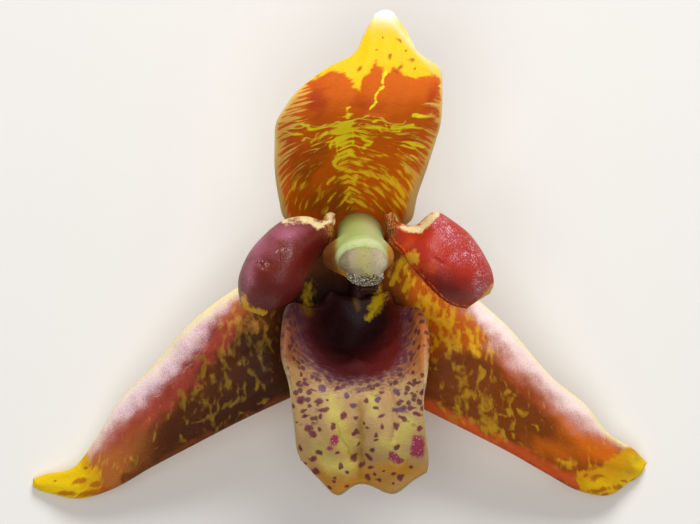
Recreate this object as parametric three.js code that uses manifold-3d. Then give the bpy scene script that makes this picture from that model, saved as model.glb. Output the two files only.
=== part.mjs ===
// A maxillaria orchid bloom, picked with its short stalk and lying face up.
// Millimetres, +Z up. Seen from above: +X is the bloom's right, +Y its upper side.
import * as THREE from 'three';
import * as BufferGeometryUtils from 'three/addons/utils/BufferGeometryUtils.js';
import Module from 'manifold-3d';

const wasm = await Module();
wasm.setup();

// Driving dimensions
const GAP = 0.3;                 // clearance between pieces that touch
const EDGE_THICKNESS = 0.6;      // every blade at its margin
const SEPAL_THICKNESS = 0.85;    // fleshy middle of a sepal
const PETAL_THICKNESS = 0.8;
const LIP_THICKNESS = 0.9;
const LIP_LOBE = 0.75;           // how far each lobe of the lip's tip reaches past its notch
const BLOOM_SHIFT = [-0.05, 0.34, 0];   // puts the origin under the middle of the bloom

const COLUMN_BASE = [1.3, 1.0, 4.35];
const COLUMN_TIP = [1.45, -0.5, 13.2];
const COLUMN_HALF_WIDTH = 1.5;
const COLUMN_HALF_DEPTH = 1.45;
const COLUMN_WING = 0.54;        // how far each wing stands out, as a share of the width
const FOOT_START = [1.3, 1.0, 4.9];
const FOOT_END = [1.3, -5.7, 3.95];
const FOOT_HALF_WIDTH = 0.6;
const FOOT_HALF_HEIGHT = 0.5;

const CAP_CENTRE = [1.47, -0.75, 13.0];
const CAP_HALF_WIDTH = 1.5;
const CAP_HALF_HEIGHT = 1.2;
const CAP_HALF_DEPTH = 0.95;
const CAP_BEAK = 0.45;
const VISCIDIUM_CENTRE = [1.8, -2.35, 12.1];
const VISCIDIUM_HALF_SIZE = [0.65, 0.45, 0.6];

const OVARY_RADIUS = 1.5;
const STALK_RADIUS = 1.05;
const STALK_END_Y = -9.6;
const OVARY_BEND_Y = 1.6;
const RECEPTACLE_Y = 0.9;
const RECEPTACLE_TOP = 3.75;
const RECEPTACLE_RADIUS = 1.9;
const STALK_X = 1.3;
const FLOOR_BITE = 0.08;         // how much of a round underside is pressed flat

// Blades. Each is held by three lines from its base to its tip: its left edge, its crown along
// the middle and its right edge, left and right as seen going to the tip with the face upward.
// curl gives how far each half bends round its crown, in degrees: past 90 the margin rolls under.
const DORSAL_SEPAL = {
  left: [
    [0.3, 2.6, 4.8], [-1.6, 2.3, 5.3], [-3.0, 2.1, 6.0], [-3.4, 3.2, 6.9], [-3.7, 5.0, 8.3],
    [-3.75, 6.5, 10.0], [-3.7, 7.8, 11.5], [-3.1, 8.9, 12.3], [-2.3, 10.0, 12.6],
    [-0.7, 11.3, 12.4], [0.95, 12.2, 12.0], [1.6, 13.3, 11.6], [2.3, 14.5, 11.0],
  ],
  crown: [
    [1.3, 2.7, 4.6], [1.1, 3.2, 4.9], [0.8, 3.7, 5.5], [0.6, 4.4, 6.2], [0.6, 5.4, 7.5],
    [0.8, 6.7, 9.6], [1.2, 7.9, 11.8], [1.6, 9.0, 12.6], [2.0, 10.0, 12.8],
    [2.4, 11.2, 12.6], [2.7, 12.3, 12.2], [2.8, 13.4, 11.6], [2.8, 14.9, 10.9],
  ],
  right: [
    [2.3, 2.6, 4.8], [3.4, 2.4, 5.3], [4.2, 2.2, 6.0], [4.65, 3.5, 6.9], [5.3, 5.2, 8.3],
    [5.8, 6.6, 10.0], [6.15, 7.7, 11.5], [6.25, 8.9, 12.3], [6.25, 10.0, 12.6],
    [6.1, 11.3, 12.4], [4.85, 12.3, 12.0], [4.2, 13.4, 11.6], [3.3, 14.6, 11.0],
  ],
  curl: [50, 50],
  thickness: SEPAL_THICKNESS,
  steps: [30, 12],
};

const LATERAL_SEPAL_LEFT = {
  left: [
    [0.7, -7.2, 4.0], [-0.8, -8.0, 5.2], [-3.0, -9.0, 5.9], [-6.0, -10.4, 5.5], [-9.1, -12.0, 4.6],
    [-11.9, -13.5, 3.4], [-14.3, -14.9, 2.2], [-16.6, -15.6, 1.3], [-18.7, -15.2, 0.75],
    [-19.4, -14.9, 0.55],
  ],
  crown: [
    [0.4, -3.7, 4.1], [-2.2, -4.5, 5.6], [-4.75, -5.75, 6.8], [-7.4, -7.3, 6.3], [-9.9, -9.1, 5.2],
    [-12.5, -11.1, 3.9], [-14.6, -13.1, 2.7], [-16.6, -14.6, 1.7], [-18.6, -14.6, 0.9],
    [-19.5, -14.6, 0.6],
  ],
  right: [
    [0.1, 0.1, 4.7], [-3.1, -0.2, 5.2], [-6.4, -2.2, 5.4], [-9.2, -4.3, 4.9], [-11.7, -7.1, 3.9],
    [-14.0, -9.5, 2.8], [-15.4, -11.7, 2.0], [-16.9, -13.6, 1.4], [-18.7, -14.1, 0.75],
    [-19.4, -14.4, 0.55],
  ],
  curl: [60, 85],
  thickness: SEPAL_THICKNESS,
  steps: [26, 12],
};

const LATERAL_SEPAL_RIGHT = {
  left: [
    [2.6, 0.1, 4.7], [5.4, 0.2, 5.2], [8.5, -2.7, 5.4], [11.0, -5.05, 4.9], [13.4, -7.8, 3.9],
    [15.6, -9.6, 2.8], [17.2, -11.5, 2.0], [18.7, -12.4, 1.4], [19.3, -13.0, 0.8],
    [19.6, -13.5, 0.55],
  ],
  crown: [
    [2.2, -3.7, 4.1], [4.2, -4.2, 5.6], [6.9, -5.5, 6.8], [9.5, -7.2, 6.3], [12.0, -9.4, 5.2],
    [14.4, -11.2, 3.9], [16.1, -12.8, 2.8], [18.0, -13.6, 1.8], [18.9, -13.8, 1.0],
    [19.5, -13.8, 0.6],
  ],
  right: [
    [1.9, -7.2, 4.0], [3.0, -8.5, 5.2], [5.1, -9.6, 5.9], [7.9, -11.0, 5.5], [10.8, -12.5, 4.6],
    [13.2, -13.9, 3.4], [15.2, -15.0, 2.3], [17.2, -15.4, 1.4], [18.6, -14.6, 0.8],
    [19.3, -14.1, 0.55],
  ],
  curl: [85, 60],
  thickness: SEPAL_THICKNESS,
  steps: [26, 12],
};

const PETAL_LEFT = {
  left: [
    [-0.6, 0.6, 5.5], [-0.8, 0.5, 7.0], [-1.0, 0.4, 8.3], [-1.25, 0.1, 9.4], [-1.55, -0.65, 10.4],
    [-1.95, -1.45, 11.0], [-2.4, -2.4, 11.0], [-3.2, -3.05, 10.4], [-4.1, -3.5, 9.6],
    [-4.8, -3.9, 8.9],
  ],
  crown: [
    [-0.6, 1.0, 5.5], [-0.8, 1.2, 7.0], [-1.0, 1.3, 8.6], [-1.4, 1.0, 10.1], [-2.0, 0.6, 11.3],
    [-2.9, 0.0, 12.2], [-3.9, -1.2, 12.4], [-4.65, -2.35, 11.7], [-5.05, -3.2, 10.5],
    [-5.2, -3.7, 9.3],
  ],
  right: [
    [-0.6, 1.5, 5.5], [-0.7, 1.8, 7.0], [-0.7, 2.2, 8.2], [-1.1, 1.9, 8.9], [-1.9, 2.1, 9.4],
    [-3.5, 1.75, 9.9], [-5.0, 0.4, 10.2], [-6.0, -1.4, 10.0], [-6.0, -2.9, 9.4],
    [-5.5, -3.6, 8.9],
  ],
  curl: [85, 95],
  thickness: PETAL_THICKNESS,
  steps: [24, 12],
};

const PETAL_RIGHT = {
  left: [
    [3.4, 1.5, 5.5], [3.6, 1.7, 7.0], [3.6, 2.2, 8.2], [4.0, 2.0, 8.9], [4.65, 1.65, 9.4],
    [5.9, 2.4, 9.9], [7.4, 1.5, 10.2], [8.8, 0.0, 10.2], [9.4, -1.7, 10.0],
    [9.2, -2.6, 9.2],
  ],
  crown: [
    [3.4, 1.0, 5.5], [3.6, 1.2, 7.0], [3.7, 1.4, 8.6], [4.1, 1.2, 10.1], [4.7, 0.9, 11.3],
    [5.4, 0.6, 12.2], [6.5, -0.35, 12.5], [7.4, -1.4, 12.2], [8.1, -2.4, 11.2],
    [8.6, -3.0, 9.7],
  ],
  right: [
    [3.4, 0.6, 5.5], [3.6, 0.6, 7.0], [3.8, 0.7, 8.3], [4.0, 0.5, 9.4], [4.25, 0.0, 10.4],
    [4.6, -0.7, 11.0], [5.1, -1.5, 11.3], [5.9, -2.4, 11.0], [6.9, -3.1, 10.3],
    [8.0, -3.4, 9.2],
  ],
  curl: [95, 85],
  thickness: PETAL_THICKNESS,
  steps: [24, 12],
};

const LIP = {
  left: [
    [2.2, -4.8, 5.4], [3.6, -3.8, 7.5], [4.6, -3.5, 8.9], [5.0, -4.7, 10.6], [5.05, -6.3, 11.5],
    [5.1, -7.85, 11.6], [5.1, -9.3, 11.3], [5.3, -11.1, 10.8], [5.5, -12.7, 9.9],
    [5.4, -13.4, 9.5],
  ],
  crown: [
    [1.05, -5.2, 5.2], [1.05, -5.9, 6.0], [1.05, -6.5, 7.2], [1.05, -7.1, 8.6], [1.05, -7.7, 9.9],
    [1.05, -8.5, 10.8], [1.1, -9.7, 11.1], [1.2, -11.2, 10.9], [1.4, -12.8, 10.1],
    [1.55, -14.0, 9.6],
  ],
  right: [
    [-0.1, -4.8, 5.4], [-1.6, -3.8, 7.5], [-2.6, -3.2, 8.9], [-2.9, -4.4, 10.6], [-3.0, -6.0, 11.5],
    [-2.8, -7.6, 11.6], [-2.75, -9.2, 11.3], [-2.6, -10.95, 10.8], [-2.35, -12.8, 9.9],
    [-2.25, -13.3, 9.5],
  ],
  curl: [65, 65],
  thickness: LIP_THICKNESS,
  steps: [28, 20],
  tip: lipTip,
  relief: lipRelief,
};

// Lip: the two rounded lobes at its tip, with the notch between them
function lipTip(along, across) {
  const nearTip = Math.max(0, (along - 0.75) / 0.25) ** 2;
  return LIP_LOBE * nearTip * bump(Math.abs(across) - 0.37, 0.2);
}

// Lip: a swelling on each side of the groove down its middle, and the callus in its throat
function lipRelief(along, across) {
  const blade = bump(along - 0.84, 0.16);
  const swelling = 0.35 * bump(Math.abs(across) - 0.33, 0.2);
  const groove = 0.3 * bump(across, 0.09);
  const callus = 0.45 * bump(along - 0.36, 0.06) * bump(across, 0.12);
  return blade * (swelling - groove) + callus;
}

function bump(offset, width) {
  return Math.exp(-((offset / width) ** 2));
}

// Colours of the fresh bloom
const COLOURS = {
  ovary_pedicel: { color: 0x7f8f45, roughness: 0.6 },
  dorsal_sepal: { color: 0xc8581f, roughness: 0.5 },
  lateral_sepal_left: { color: 0xa8452f, roughness: 0.5 },
  lateral_sepal_right: { color: 0xb04a2c, roughness: 0.5 },
  petal_left: { color: 0x9c3247, roughness: 0.45 },
  petal_right: { color: 0xa92a3a, roughness: 0.45 },
  lip: { color: 0xcbb070, roughness: 0.5 },
  column: { color: 0xb3bd80, roughness: 0.45 },
  anther_cap: { color: 0xc9c2b0, roughness: 0.4 },
  viscidium: { color: 0x3a1d12, roughness: 0.35 },
};

function vector(point) {
  return new THREE.Vector3(...point);
}

function smoothLine(points) {
  return new THREE.CatmullRomCurve3(points.map(vector), false, 'catmullrom', 0.5);
}

// Point of a blade's face: along runs 0 to 1 from base to tip, across -1 to 1 from edge to edge.
function bladePoint(blade, lines, along, across) {
  const crown = lines.crown.getPoint(along);
  const left = lines.left.getPoint(along);
  const right = lines.right.getPoint(along);
  const edge = across < 0 ? left : right;
  const side = new THREE.Vector3().subVectors(right, left).normalize();
  const toEdge = new THREE.Vector3().subVectors(edge, crown);
  const sideways = side.clone().multiplyScalar(toEdge.dot(side));
  const depth = toEdge.sub(sideways);
  const curl = THREE.MathUtils.degToRad(blade.curl[across < 0 ? 0 : 1]);
  const reach = Math.min(curl, Math.PI / 2);
  const angle = Math.abs(across) * curl;
  crown.addScaledVector(sideways, Math.sin(angle) / Math.sin(reach));
  crown.addScaledVector(depth, (1 - Math.cos(angle)) / (1 - Math.cos(reach)));
  if (blade.tip) {
    crown.addScaledVector(lines.crown.getTangent(along), blade.tip(along, across));
  }
  return crown;
}

// Grid of points over a blade's face, before its relief
function bladeGrid(blade) {
  const lines = {
    left: smoothLine(blade.left),
    crown: smoothLine(blade.crown),
    right: smoothLine(blade.right),
  };
  const [rows, columns] = blade.steps;
  const grid = [];
  for (let i = 0; i <= rows; i++) {
    const row = [];
    for (let j = 0; j <= columns; j++) {
      row.push(bladePoint(blade, lines, i / rows, -1 + (2 * j) / columns));
    }
    grid.push(row);
  }
  return grid;
}

function gridNormal(grid, i, j) {
  const rows = grid.length - 1;
  const columns = grid[0].length - 1;
  const along = new THREE.Vector3().subVectors(
    grid[Math.min(i + 1, rows)][j], grid[Math.max(i - 1, 0)][j]);
  const across = new THREE.Vector3().subVectors(
    grid[i][Math.min(j + 1, columns)], grid[i][Math.max(j - 1, 0)]);
  return across.cross(along).normalize();
}

// Closed blade: its face, its back one thickness behind, and the rim between them
function bladeGeometry(blade) {
  const base = bladeGrid(blade);
  const rows = blade.steps[0];
  const columns = blade.steps[1];
  const positions = [];
  const indices = [];
  const back = (rows + 1) * (columns + 1);
  const at = (i, j) => i * (columns + 1) + j;
  for (const side of ['face', 'back']) {
    for (let i = 0; i <= rows; i++) {
      for (let j = 0; j <= columns; j++) {
        const across = -1 + (2 * j) / columns;
        const thickness = EDGE_THICKNESS + (blade.thickness - EDGE_THICKNESS) * (1 - across ** 2);
        const relief = blade.relief ? blade.relief(i / rows, across) : 0;
        const offset = side === 'face' ? relief : -thickness;
        const point = base[i][j].clone().addScaledVector(gridNormal(base, i, j), offset);
        positions.push(point.x, point.y, point.z);
      }
    }
  }
  for (let i = 0; i < rows; i++) {
    for (let j = 0; j < columns; j++) {
      const [a, b, c, d] = [at(i, j), at(i, j + 1), at(i + 1, j + 1), at(i + 1, j)];
      indices.push(a, b, c, a, c, d);
      indices.push(back + a, back + c, back + b, back + a, back + d, back + c);
    }
  }
  const baseRow = Array.from({ length: columns }, (_, j) => at(0, j));
  const rightRim = Array.from({ length: rows }, (_, i) => at(i, columns));
  const tipRow = Array.from({ length: columns }, (_, j) => at(rows, columns - j));
  const leftRim = Array.from({ length: rows }, (_, i) => at(rows - i, 0));
  const rim = [...baseRow, ...rightRim, ...tipRow, ...leftRim];
  rim.forEach((a, k) => {
    const b = rim[(k + 1) % rim.length];
    indices.push(a, back + a, back + b, a, back + b, b);
  });
  const geometry = new THREE.BufferGeometry();
  geometry.setAttribute('position', new THREE.Float32BufferAttribute(positions, 3));
  geometry.setIndex(indices);
  return geometry;
}

// Closed body through a row of rings that all have the same number of points
function ringGeometry(rings) {
  const count = rings[0].length;
  const positions = [];
  const indices = [];
  for (const ring of rings) {
    for (const point of ring) {
      positions.push(point.x, point.y, point.z);
    }
  }
  for (let i = 0; i < rings.length - 1; i++) {
    for (let j = 0; j < count; j++) {
      const next = (j + 1) % count;
      const [a, b] = [i * count + j, i * count + next];
      indices.push(a, b, b + count, a, b + count, a + count);
    }
  }
  const ends = [rings[0], rings[rings.length - 1]];
  ends.forEach((ring, end) => {
    const middle = new THREE.Vector3();
    ring.forEach((point) => middle.addScaledVector(point, 1 / count));
    const hub = positions.length / 3;
    positions.push(middle.x, middle.y, middle.z);
    const first = end * (rings.length - 1) * count;
    for (let j = 0; j < count; j++) {
      const [a, b] = [first + j, first + ((j + 1) % count)];
      indices.push(hub, ...(end === 0 ? [b, a] : [a, b]));
    }
  });
  const geometry = new THREE.BufferGeometry();
  geometry.setAttribute('position', new THREE.Float32BufferAttribute(positions, 3));
  geometry.setIndex(indices);
  return geometry;
}

function toSolid(geometry) {
  geometry.deleteAttribute('normal');
  geometry.deleteAttribute('uv');
  const merged = BufferGeometryUtils.mergeVertices(geometry, 1e-4);
  return new wasm.Manifold(new wasm.Mesh({
    numProp: 3,
    vertProperties: new Float32Array(merged.attributes.position.array),
    triVerts: new Uint32Array(merged.index.array),
  }));
}

function toGeometry(solid) {
  const mesh = solid.getMesh();
  const geometry = new THREE.BufferGeometry();
  geometry.setAttribute('position', new THREE.BufferAttribute(mesh.vertProperties, 3));
  geometry.setIndex(new THREE.BufferAttribute(mesh.triVerts, 1));
  geometry.computeVertexNormals();
  return geometry;
}

// Column: an upright body that leans towards the lip, with a wing on each side near its tip
function columnSolid(grow) {
  const base = vector(COLUMN_BASE);
  const tip = vector(COLUMN_TIP);
  const axis = new THREE.Vector3().subVectors(tip, base).normalize();
  const sideways = new THREE.Vector3(1, 0, 0);
  const upward = new THREE.Vector3().crossVectors(axis, sideways).normalize();
  const rings = [];
  const levels = [0, 0.12, 0.3, 0.5, 0.62, 0.72, 0.82, 0.9, 0.96, 1];
  const points = 24;
  for (const level of levels) {
    const centre = base.clone().lerp(tip, level);
    const end = Math.min(1, Math.sqrt(Math.max(0, 1.02 - level) / 0.12));
    const wing = COLUMN_WING * Math.exp(-(((level - 0.74) / 0.11) ** 2));
    const ring = [];
    for (let j = 0; j < points; j++) {
      const turn = (2 * Math.PI * j) / points;
      const flare = 1 + wing * Math.exp(-((Math.sin(turn) + 0.15) ** 2) / 0.4);
      const width = COLUMN_HALF_WIDTH * (0.45 + 0.55 * end) * flare + grow;
      const depth = COLUMN_HALF_DEPTH * (0.45 + 0.55 * end) + grow;
      ring.push(centre.clone()
        .addScaledVector(sideways, width * Math.cos(turn))
        .addScaledVector(upward, depth * Math.sin(turn)));
    }
    rings.push(ring);
  }
  rings[0].forEach((point) => point.addScaledVector(axis, -grow));
  rings[rings.length - 1].forEach((point) => point.addScaledVector(axis, grow));
  return toSolid(ringGeometry(rings));
}

// Foot of the column: the keel between the two lateral sepals, which carries the lip at its end
function footSolid(grow) {
  const start = vector(FOOT_START);
  const end = vector(FOOT_END);
  end.y -= grow;
  const rings = [];
  const levels = [0, 0.5, 0.9, 1];
  for (const level of levels) {
    const centre = start.clone().lerp(end, level);
    const round = level > 0.95 ? 0.55 : 1;
    const ring = [];
    for (let j = 0; j < 12; j++) {
      const turn = (2 * Math.PI * j) / 12;
      ring.push(new THREE.Vector3(
        centre.x + (FOOT_HALF_WIDTH * round + grow) * Math.cos(turn),
        centre.y,
        centre.z + (FOOT_HALF_HEIGHT * round + grow) * Math.sin(turn)));
    }
    rings.push(ring);
  }
  return toSolid(ringGeometry(rings));
}

// Anther cap: a helmet with a low keel down its middle and a beak over the viscidium
function capSolid(grow) {
  const geometry = new THREE.SphereGeometry(1, 24, 16);
  const position = geometry.attributes.position;
  const point = new THREE.Vector3();
  for (let i = 0; i < position.count; i++) {
    point.fromBufferAttribute(position, i);
    const keel = 0.14 * Math.exp(-((point.x / 0.22) ** 2)) * Math.max(0, point.z);
    const beak = CAP_BEAK * Math.max(0, -point.y) ** 3 * Math.exp(-((point.x / 0.4) ** 2));
    position.setXYZ(i,
      CAP_CENTRE[0] + point.x * (CAP_HALF_WIDTH + grow),
      CAP_CENTRE[1] + point.y * (CAP_HALF_HEIGHT + grow) - beak,
      CAP_CENTRE[2] + point.z * (CAP_HALF_DEPTH + grow) + keel - 0.5 * beak);
  }
  return toSolid(geometry);
}

function viscidiumSolid() {
  const geometry = new THREE.SphereGeometry(1, 14, 10);
  geometry.scale(...VISCIDIUM_HALF_SIZE);
  geometry.translate(...VISCIDIUM_CENTRE);
  return toSolid(geometry);
}

// Ovary and stalk: lying along the surface, turned up at the ovary's end to carry the bloom
function ovarySolid() {
  const lying = [];
  const points = 20;
  const stations = [
    [STALK_END_Y, STALK_RADIUS], [STALK_END_Y + 2.4, STALK_RADIUS], [-5, 1.3],
    [-2.6, OVARY_RADIUS], [0.4, OVARY_RADIUS], [OVARY_BEND_Y, 1.4], [OVARY_BEND_Y + 0.9, 1.05],
    [OVARY_BEND_Y + 1.3, 0.5],
  ];
  for (const [y, radius] of stations) {
    const height = (y > OVARY_BEND_Y ? OVARY_RADIUS : radius) - FLOOR_BITE;
    const ring = [];
    for (let j = 0; j < points; j++) {
      const turn = (2 * Math.PI * j) / points;
      ring.push(new THREE.Vector3(
        STALK_X - radius * Math.cos(turn), y, height + radius * Math.sin(turn)));
    }
    lying.push(ring);
  }
  const neck = new THREE.LatheGeometry([
    new THREE.Vector2(0, OVARY_RADIUS * 0.6),
    new THREE.Vector2(OVARY_RADIUS * 0.8, OVARY_RADIUS * 0.6),
    new THREE.Vector2(OVARY_RADIUS, 2.4),
    new THREE.Vector2(RECEPTACLE_RADIUS, 3.2),
    new THREE.Vector2(RECEPTACLE_RADIUS, RECEPTACLE_TOP),
    new THREE.Vector2(0, RECEPTACLE_TOP),
  ], points);
  neck.rotateX(Math.PI / 2);
  neck.translate(STALK_X, RECEPTACLE_Y, 0);
  return toSolid(ringGeometry(lying)).add(toSolid(neck));
}

function receptacleRoom() {
  const room = new THREE.CylinderGeometry(
    RECEPTACLE_RADIUS + GAP, RECEPTACLE_RADIUS + GAP, RECEPTACLE_TOP + GAP, 20);
  room.rotateX(Math.PI / 2);
  room.translate(STALK_X, RECEPTACLE_Y, (RECEPTACLE_TOP + GAP) / 2);
  return toSolid(room);
}

// What lies under the surface the bloom rests on is pressed flat
function belowSurface() {
  const ground = new THREE.BoxGeometry(60, 60, 4);
  ground.translate(0, 0, -2);
  return toSolid(ground);
}

const columnRoom = columnSolid(GAP).add(footSolid(GAP));
const ground = belowSurface();
const room = columnRoom.add(receptacleRoom()).add(ground);

const solids = {
  ovary_pedicel: ovarySolid().subtract(ground),
  dorsal_sepal: toSolid(bladeGeometry(DORSAL_SEPAL)).subtract(room),
  lateral_sepal_left: toSolid(bladeGeometry(LATERAL_SEPAL_LEFT)).subtract(room),
  lateral_sepal_right: toSolid(bladeGeometry(LATERAL_SEPAL_RIGHT)).subtract(room),
  petal_left: toSolid(bladeGeometry(PETAL_LEFT)).subtract(room),
  petal_right: toSolid(bladeGeometry(PETAL_RIGHT)).subtract(room),
  lip: toSolid(bladeGeometry(LIP)).subtract(room),
  column: columnSolid(0).add(footSolid(0)).subtract(capSolid(GAP)),
  anther_cap: capSolid(0),
  viscidium: viscidiumSolid().subtract(capSolid(GAP)),
};

const bloom = new THREE.Group();
bloom.position.set(...BLOOM_SHIFT);
for (const [name, solid] of Object.entries(solids)) {
  const material = new THREE.MeshStandardMaterial({ ...COLOURS[name], metalness: 0 });
  const mesh = new THREE.Mesh(toGeometry(solid), material);
  mesh.name = name;
  bloom.add(mesh);
}

const part = new THREE.Group();
part.add(bloom);

export default part;
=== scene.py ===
"""A maxillaria orchid bloom, picked with its short stalk and lying face up on a pale surface."""

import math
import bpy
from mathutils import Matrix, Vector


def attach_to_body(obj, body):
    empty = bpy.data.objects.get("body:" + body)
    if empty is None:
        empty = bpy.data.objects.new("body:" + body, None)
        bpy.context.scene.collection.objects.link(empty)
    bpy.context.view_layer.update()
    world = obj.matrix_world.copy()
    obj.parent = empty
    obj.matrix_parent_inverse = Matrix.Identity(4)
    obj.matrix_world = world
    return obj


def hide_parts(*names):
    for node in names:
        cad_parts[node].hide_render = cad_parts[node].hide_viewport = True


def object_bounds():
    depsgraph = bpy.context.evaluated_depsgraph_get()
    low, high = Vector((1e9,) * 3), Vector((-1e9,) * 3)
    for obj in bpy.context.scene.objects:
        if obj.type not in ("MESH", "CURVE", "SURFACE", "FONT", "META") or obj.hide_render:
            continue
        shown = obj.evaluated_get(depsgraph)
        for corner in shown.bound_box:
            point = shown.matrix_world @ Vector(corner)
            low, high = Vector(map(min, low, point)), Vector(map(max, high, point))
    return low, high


bl_info = {
    "name": "Maxillaria Bloom",
    "version": (1, 0, 0),
    "blender": (4, 5, 0),
    "location": "View3D > Sidebar > Bloom",
    "description": "Builds a picked maxillaria bloom lying face up, piece by piece",
    "category": "Add Mesh",
}

from types import SimpleNamespace

import bpy
import numpy as np
from mathutils import Vector

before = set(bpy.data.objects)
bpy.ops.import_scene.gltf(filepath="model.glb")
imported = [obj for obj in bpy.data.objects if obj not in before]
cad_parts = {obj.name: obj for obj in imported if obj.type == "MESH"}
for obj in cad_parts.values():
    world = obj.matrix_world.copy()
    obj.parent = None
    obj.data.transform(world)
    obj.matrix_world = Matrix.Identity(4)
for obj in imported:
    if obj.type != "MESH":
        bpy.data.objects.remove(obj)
CAD_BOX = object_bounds()

# Shared sizes
MM = 0.001
CAMERA_PLACE = (0.00072, -0.00053, 0.249)
CAMERA_LENS = 200.0
CAMERA_SENSOR = 36.0
CAMERA_CLIP = (0.01, 5.0)
VIEW_WIDTH = 700
VIEW_HEIGHT = 524

# Stage, in metres. Each light stands at its offset from the middle of the bloom.
FLOOR_HALF = 0.6
KEY_LIGHT_SIZE = 0.16
KEY_LIGHT_OFFSET = Vector((0.05, 0.24, 0.2))
FILL_LIGHT_SIZE = 0.3
FILL_LIGHT_OFFSET = Vector((-0.03, -0.06, 0.34))
SKY_COLOUR = (1.0, 0.99, 0.98, 1.0)
SKY_STRENGTH = 0.22

# Every blade, in millimetres and shares
EDGE_GROWTH = 0.12  # past its side lines
TIP_GROWTH = 0.2
TIP_GROWTH_START = 0.85
CURL_SPAN = (0.2, 0.5)  # of its length, over which it takes on its curl
FAN_END = 0.6  # of its length, to where its streaks fan out
EVEN_SHARE = 0.65  # of the spacing across it. The rest crowds towards its edges.
ROUNDING_SHARE = 0.55  # of its thickness, for the rounded rim
BACK_LIFT_SHARE = 0.35  # of the face's relief, shown on the back
RELIEF_START = 0.5  # from the rim, where relief is full
CLEARANCE = 0.02  # above the floor
OUTSIDE_SPAN = (0.1, 0.55)  # from the rim, where the colour of the back begins
VEIN_HEIGHT = 0.012
SEPAL_RIPPLE = 0.04
PETAL_RIPPLE = 0.05
LIP_RIPPLE = 0.04
RIPPLE_WAVES = 14

# Patterns
WANDER_WAVES = 16
SEED_STEPS = (7.3, 3.1, 5.7)  # how far a seed of 1 shifts a pattern
NOISE_RANGE = (0.28, 0.72)  # spread out to 0 and 1
TISSUE_SCATTER = (1.0, 0.45, 0.2)
COAT_ROUGHNESS = 0.3

# Blades, in millimetres. Each is held by three lines from its base to its tip: its left edge, its
# crown along the middle and its right edge. curl is how far each half bends round the crown.
DORSAL_SEPAL = {
    "left": [
        (-0.7, 0.6, 4.5), (-1.6, 1.5, 5.1), (-3.0, 2.0, 6.0), (-3.4, 3.2, 6.9), (-3.7, 5.0, 8.3),
        (-3.75, 6.5, 10.0), (-3.7, 7.8, 11.5), (-3.1, 8.9, 12.3), (-2.3, 10.0, 12.6),
        (-0.7, 11.3, 12.4), (0.95, 12.2, 12.0), (1.6, 13.3, 11.6), (2.3, 14.5, 11.0),
    ],
    "crown": [
        (1.3, 0.9, 4.4), (1.2, 2.1, 4.6), (0.9, 3.3, 5.2), (0.6, 4.4, 6.2), (0.6, 5.4, 7.5),
        (0.8, 6.7, 9.6), (1.2, 7.9, 11.8), (1.6, 9.0, 12.6), (2.0, 10.0, 12.8), (2.4, 11.2, 12.6),
        (2.7, 12.3, 12.2), (2.8, 13.4, 11.6), (2.8, 14.9, 10.9),
    ],
    "right": [
        (3.2, 0.6, 4.5), (3.8, 1.5, 5.1), (4.3, 2.1, 6.0), (4.65, 3.5, 6.9), (5.3, 5.2, 8.3),
        (5.8, 6.6, 10.0), (6.15, 7.7, 11.5), (6.25, 8.9, 12.3), (6.25, 10.0, 12.6),
        (6.1, 11.3, 12.4), (4.85, 12.3, 12.0), (4.2, 13.4, 11.6), (3.3, 14.6, 11.0),
    ],
    "curl": (50, 50),
    "fan": (0.9, 0.12),
    "steps": (280, 150),
}

LATERAL_SEPAL_LEFT = {
    "left": [
        (1.5, -6.4, 3.6), (0.7, -7.2, 4.2), (-0.8, -8.0, 5.2), (-3.0, -9.0, 5.9),
        (-6.0, -10.4, 5.5), (-9.1, -12.0, 4.6), (-11.9, -13.5, 3.4), (-14.3, -14.9, 2.2),
        (-16.6, -15.6, 1.3), (-18.7, -15.2, 0.75), (-19.4, -14.9, 0.55),
    ],
    "crown": [
        (1.4, -3.5, 3.6), (0.4, -3.7, 4.3), (-2.2, -4.5, 5.6), (-4.75, -5.75, 6.8),
        (-7.4, -7.3, 6.3), (-9.9, -9.1, 5.2), (-12.5, -11.1, 3.9), (-14.6, -13.1, 2.7),
        (-16.6, -14.6, 1.7), (-18.6, -14.6, 0.9), (-19.5, -14.6, 0.6),
    ],
    "right": [
        (1.3, 0.2, 4.2), (0.1, 0.3, 4.8), (-3.1, -0.2, 5.2), (-6.4, -2.2, 5.4), (-9.2, -4.3, 4.9),
        (-11.7, -7.1, 3.9), (-14.0, -9.5, 2.8), (-15.4, -11.7, 2.0), (-16.9, -13.6, 1.4),
        (-18.7, -14.1, 0.75), (-19.4, -14.4, 0.55),
    ],
    "curl": (60, 85),
    "steps": (330, 120),
}

LATERAL_SEPAL_RIGHT = {
    "left": [
        (1.4, 0.2, 4.2), (2.6, 0.3, 4.8), (5.4, 0.2, 5.2), (8.5, -2.7, 5.4), (11.0, -5.05, 4.9),
        (13.4, -7.8, 3.9), (15.6, -9.6, 2.8), (17.2, -11.5, 2.0), (18.7, -12.4, 1.4),
        (19.3, -13.0, 0.8), (19.6, -13.5, 0.55),
    ],
    "crown": [
        (1.2, -3.5, 3.6), (2.2, -3.7, 4.3), (4.2, -4.2, 5.6), (6.9, -5.5, 6.8), (9.5, -7.2, 6.3),
        (12.0, -9.4, 5.2), (14.4, -11.2, 3.9), (16.1, -12.8, 2.8), (18.0, -13.6, 1.8),
        (18.9, -13.8, 1.0), (19.5, -13.8, 0.6),
    ],
    "right": [
        (1.1, -6.4, 3.6), (1.9, -7.2, 4.2), (3.0, -8.5, 5.2), (5.1, -9.6, 5.9), (7.9, -11.0, 5.5),
        (10.8, -12.5, 4.6), (13.2, -13.9, 3.4), (15.2, -15.0, 2.3), (17.2, -15.4, 1.4),
        (18.6, -14.6, 0.8), (19.3, -14.1, 0.55),
    ],
    "curl": (85, 60),
    "steps": (330, 120),
}

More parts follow.
